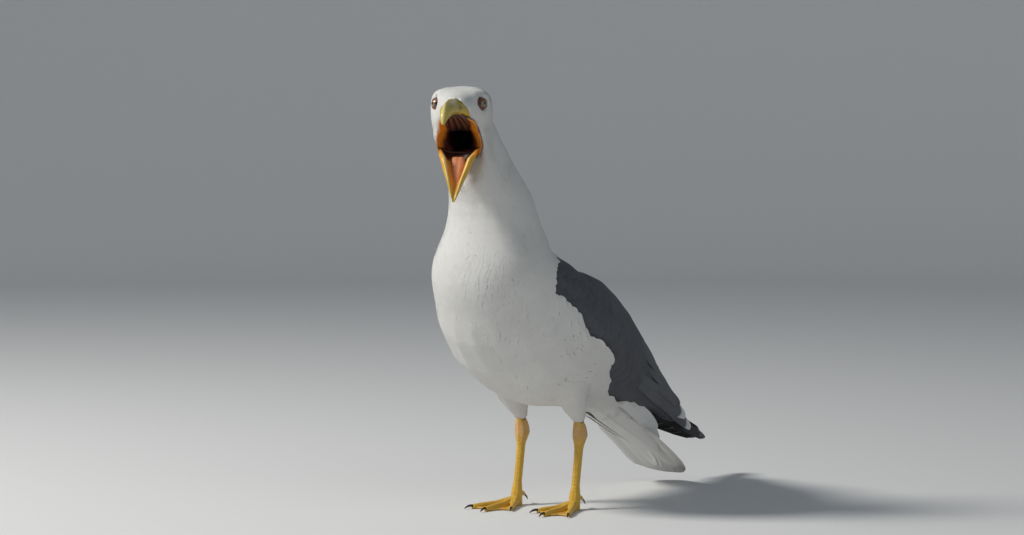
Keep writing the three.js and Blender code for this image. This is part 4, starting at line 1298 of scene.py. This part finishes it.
VANE_ACROSS = np.array([-1, -0.86, -0.64, -0.38, -0.14, -0.045, 0, 0.045, 0.14, 0.38, 0.64, 0.86, 1])
VANE_ROWS = 22
VANE_THICKNESS = 0.35
ROOT_SUNK = 3  # how far a quill's end lies under the skin
HUG_REACH = 16  # a vane further than this from the skin runs free of it
HUG_LIFT = 3.4  # how high over the skin a vane lies, on top of the coat
PRIMARY_BLACK = np.array([0.012, 0.011, 0.012])
PRIMARY_TIP = WHITE * 0.3


def hugging(grid, heading, up, along, order):
    """A vane laid on the skin under it: sunk at the root, lifted further on, and carried on
    from there past the end of the flesh."""
    high, wide, _ = grid.shape
    points = grid.reshape(-1, 3)
    spots, ways = settle(points, np.full(len(points), 1.0))
    gaps = np.linalg.norm(points - spots, axis=1)
    held = ((gaps < HUG_REACH * MM) & ((ways * heading).sum(1) < CUT_END)).reshape(high, wide)
    height = np.interp(along, [0, 0.1, 0.4, 1], [-ROOT_SUNK, 0, HUG_LIFT, HUG_LIFT]) * MM
    laid = spots.reshape(grid.shape) + ways.reshape(grid.shape) * height[:, None, None]
    moved = np.zeros_like(grid)
    raised = np.tile(up, (high, wide, 1))
    for row in range(high):
        on = held[row][:, None]
        fade = (1 - along[row]) / max(1 - along[row - 1], 0.001) if row else 1
        moved[row] = np.where(on, laid[row] - grid[row], moved[row - 1] * fade)
        raised[row] = np.where(on, ways.reshape(grid.shape)[row], raised[row - 1])
    for _ in range(2):
        moved[1:-1] = (moved[:-2] + 2 * moved[1:-1] + moved[2:]) / 4
        moved[:, 1:-1] = (moved[:, :-2] + 2 * moved[:, 1:-1] + moved[:, 2:]) / 4
    return grid + moved + raised * (0.25 * order * MM), raised


def long_feathers(
    name, rows, hand, dice, colour=WHITE, tip=WHITE, tip_share=0.05, narrow=0, on_skin=False,
    dome=0.1,
):
    """Stiff vanes from root to tip, arched, domed across and split here and there at the rim.
    The last tip_share of each has the tip's colour, and narrow is how much less of the vane lies
    on the outer side of the shaft."""
    count = len(rows)
    along = np.linspace(0, 1, VANE_ROWS) ** 0.85
    grids = np.empty((count, VANE_ROWS, len(VANE_ACROSS), 3))
    ups = np.empty_like(grids)
    patches = np.empty((count, 2))
    shades = np.empty_like(grids)
    for i, (root, end, face, width, arch) in enumerate(rows):
        root, end = (place(hand * p[0], p[1], p[2]) for p in (root, end))
        face = unit(np.array([hand * face[0], -face[1], face[2]]))
        near, _, quad, _ = SKIN_TREE.find_nearest(Vector(root))
        root = np.array(near) if on_skin else root
        patches[i] = SKIN_UVS[quad].mean(0)
        heading = unit(end - root)
        up = flat_to(heading, face)
        aside = np.cross(up, heading)
        spine = root + (end - root) * along[:, None]
        spine = spine + up * (4 * arch * along * (1 - along) * MM)[:, None]
        full = np.interp(along, [0, 0.12, 0.35, 0.85, 1], [0.2, 0.6, 1, 1, 0.8])
        outer = VANE_ACROSS * hand < 0
        reach = width / 2 * np.where(outer, 1 - narrow, 1 + narrow) * VANE_ACROSS
        notch = np.zeros(len(VANE_ACROSS))
        notch[[0, 1, -2, -1]] = dice.uniform(-0.012, 0.004, 4)
        drawn_back = -0.085 * np.abs(VANE_ACROSS) ** 2.3 + notch
        long_way = np.linalg.norm(end - root)
        shaft = np.interp(np.abs(VANE_ACROSS), [0, 0.045, 0.14], [1, 0.75, 0])
        for column, share in enumerate(VANE_ACROSS):
            out = reach[column] * full * MM
            fall = -dome * width * share**2 * full * MM
            rib = 0.55 * shaft[column] * (1 - 0.8 * along) * MM
            back = drawn_back[column] * long_way * along**4
            grids[i, :, column] = (
                spine + aside * out[:, None] + up * (fall + rib)[:, None] + heading * back[:, None]
            )
        ups[i] = up
        if on_skin:
            grids[i], ups[i] = hugging(grids[i], heading, up, along, count - i)
        white = ramp(along, 1 - tip_share * 1.2, 1 - tip_share)[:, None, None]
        shades[i] = mixed(colour * dice.normal(1, 0.03), tip, white)
    vanes = feather_mesh(
        name, grids, ups, np.full(count, VANE_THICKNESS * MM), shades, patches, stiff_vane, 0.0
    )
    return vanes


stiff_vane = feather_material("stiff_vane", 0.6, 0.3, 330.0, 0.12)
for seed, (side, hand) in enumerate((("left", 1), ("right", -1))):
    dice = np.random.default_rng(40 + seed)
    flights = long_feathers(
        "primaries_" + side + "_vanes", PRIMARIES, hand, dice, PRIMARY_BLACK,
        PRIMARY_TIP, 0.014, narrow=0.3,
    )
    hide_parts("primaries_" + side)
    for group, rows, tip, tip_share in (
        ("secondaries_", SECONDARIES, MANTLE_GREY * 1.2, 0.03),
        ("tertials_", TERTIALS, WHITE, 0.08),
        ("scapulars_", SCAPULARS, MANTLE_GREY * 1.25, 0.03),
    ):
        long_feathers(
            group + side, rows, hand, dice, MANTLE_GREY, tip, tip_share, on_skin=True
        )

# ---------------------------------------------------------------- tail
# Twelve stiff white feathers, closed to a narrow fan, the middle pair lying on top. Their quills
# are set in the last bone of the spine, and long soft coverts lie over their roots from below.
TAIL_ROOT = (-105, 84)
TAIL_TIP = (-236, 6)
TAIL_FEATHERS = [i - 5.5 for i in range(12)]


def tail_rows():
    rows = []
    for place_across in sorted(TAIL_FEATHERS, key=abs, reverse=True):
        lower = 0.5 * abs(place_across)
        root = (2.2 * place_across, TAIL_ROOT[0], TAIL_ROOT[1] - lower)
        short = 0.5 * place_across**2
        end = (3.1 * place_across, TAIL_TIP[0] + short, TAIL_TIP[1] + 0.6 * short - lower + 2.5)
        rows.append((root, end, (0.1 * place_across / 5.5, -0.56, 0.83), 30, 3))
    return rows


tail = long_feathers("tail_feathers", tail_rows(), 1, np.random.default_rng(50))
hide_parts("tail")
# Long soft coverts close the step from the belly to the tail's under side.
UNDERTAIL = [
    ((0, -40, 98.5), (0, -168, 41.5), (0, -0.42, -0.9), 30, 1),
    ((10.5, -38, 100), (9, -186, 34), (0.3, -0.4, -0.9), 20, 1),
    ((26, -34, 111), (18, -172, 46), (0.5, -0.35, -0.8), 20, 1),
    ((36.5, -28, 121), (25.5, -158, 59.5), (0.75, -0.3, -0.6), 15, 1),
]
long_feathers("undertail_middle", UNDERTAIL[:1], 1, np.random.default_rng(51))
for side, hand in (("left", 1), ("right", -1)):
    dice = np.random.default_rng(52)
    long_feathers("undertail_" + side, UNDERTAIL[1:], hand, dice, dome=0.04)

# ---------------------------------------------------------------- claws
# Curved sheaths of dark horn, grown over the last bone of each toe: three in front and a short
# one behind on each foot.
CLAW_TOES = ("inner", "middle", "outer", "hind")
CLAW_NODES = [f"claw_{toe}_{side}" for side in ("left", "right") for toe in CLAW_TOES]
CLAW_GRAIN = 0.3 * MM
CLAW_DARK = [0.03, 0.026, 0.022]


def claws():
    mesh = drawn_over(as_mesh("claws", gathered(CLAW_NODES)), CLAW_GRAIN)
    reshape(mesh, smoothed(mesh, corners_of(mesh), 12))
    paint(mesh, np.tile(CLAW_DARK, (len(mesh.vertices), 1)))
    mesh.materials.clear()
    mesh.materials.append(horn("claw_horn", 0.35))
    made = new_object("claws", mesh)
    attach(made, "root")
    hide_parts(*CLAW_NODES)


claws()

# ---------------------------------------------------------------- floor, light and camera
# A wide pale floor that curves up all round into a low wall, one broad soft lamp high on the
# bird's right, and a weak one to fill the shadows.
FLOOR_FLAT = 4.0
WALL_CURVE = 1.6
FLOOR_SIDES = 64
FLOOR_GREY = (0.74, 0.74, 0.73, 1)


def floor_dish():
    climb = np.linspace(0, math.pi / 2, 17)[:, None]
    turn = np.linspace(0, 2 * math.pi, FLOOR_SIDES, endpoint=False)
    radius = FLOOR_FLAT + WALL_CURVE * np.sin(climb)
    height = WALL_CURVE * (1 - np.cos(climb)) + 0 * turn
    points = np.stack([radius * np.cos(turn), radius * np.sin(turn), height], -1).reshape(-1, 3)
    faces = band_faces(len(climb), FLOOR_SIDES, True)
    faces += [(len(points), side, (side + 1) % FLOOR_SIDES) for side in range(FLOOR_SIDES)]
    mesh = bpy.data.meshes.new("floor")
    mesh.from_pydata([*points.tolist(), [0.0, 0.0, 0.0]], [], faces)
    material, shader, _, _ = new_material("floor")
    shader.inputs["Base Color"].default_value = FLOOR_GREY
    shader.inputs["Roughness"].default_value = 0.9
    mesh.materials.append(material)
    new_object("floor", mesh)


floor_dish()


def lamp(name, spot, target, size, power, colour):
    data = bpy.data.lights.new(name, "AREA")
    data.shape = "DISK"
    data.size = size
    data.energy = power
    data.color = colour
    made = bpy.data.objects.new(name, data)
    made.location = spot
    made.rotation_euler = (Vector(target) - Vector(spot)).to_track_quat("-Z", "Y").to_euler()
    bpy.context.scene.collection.objects.link(made)


FOCUS = (0, -0.05, 0.2)
lamp("key", (-1.7, -1.9, 2.3), FOCUS, 0.8, 98, (1.0, 0.975, 0.94))
lamp("fill", (2.6, -1.2, 1.2), FOCUS, 2.2, 8, (0.9, 0.95, 1.0))
world = bpy.data.worlds.new("room")
world.use_nodes = True
world.node_tree.nodes["Background"].inputs["Color"].default_value = (0.55, 0.62, 0.7, 1)
world.node_tree.nodes["Background"].inputs["Strength"].default_value = 0.3
bpy.context.scene.world = world
bpy.context.scene.view_settings.view_transform = "Standard"

FRAME_WIDTH, FRAME_HEIGHT = 1024, 535
CAMERA_TURN = math.radians(32)  # round to the bird's left from straight ahead
CAMERA_DISTANCE = 2.5
CAMERA_HEIGHT = 0.333
FOCAL_PIXELS = 2762.0
HORIZON = 141.0  # the picture's row at the camera's own height
AXIS = 546.5  # the picture's column where the legs' middle falls
camera_data = bpy.data.cameras.new("camera")
camera_data.sensor_width = 36.0
camera_data.lens = FOCAL_PIXELS / FRAME_WIDTH * 36.0
camera = bpy.data.objects.new("camera", camera_data)
legs = Vector(place(0, 0, 0))
camera.location = legs + Vector(
    (
        CAMERA_DISTANCE * math.sin(CAMERA_TURN),
        -CAMERA_DISTANCE * math.cos(CAMERA_TURN),
        CAMERA_HEIGHT,
    )
)
turned = CAMERA_TURN + math.atan((AXIS - FRAME_WIDTH / 2) / FOCAL_PIXELS)
tipped = math.atan((FRAME_HEIGHT / 2 - HORIZON) / FOCAL_PIXELS)
looking = Vector(
    (-math.sin(turned) * math.cos(tipped), math.cos(turned) * math.cos(tipped), -math.sin(tipped))
)
camera.rotation_euler = looking.to_track_quat("-Z", "Y").to_euler()
bpy.context.scene.collection.objects.link(camera)
bpy.context.scene.camera = camera
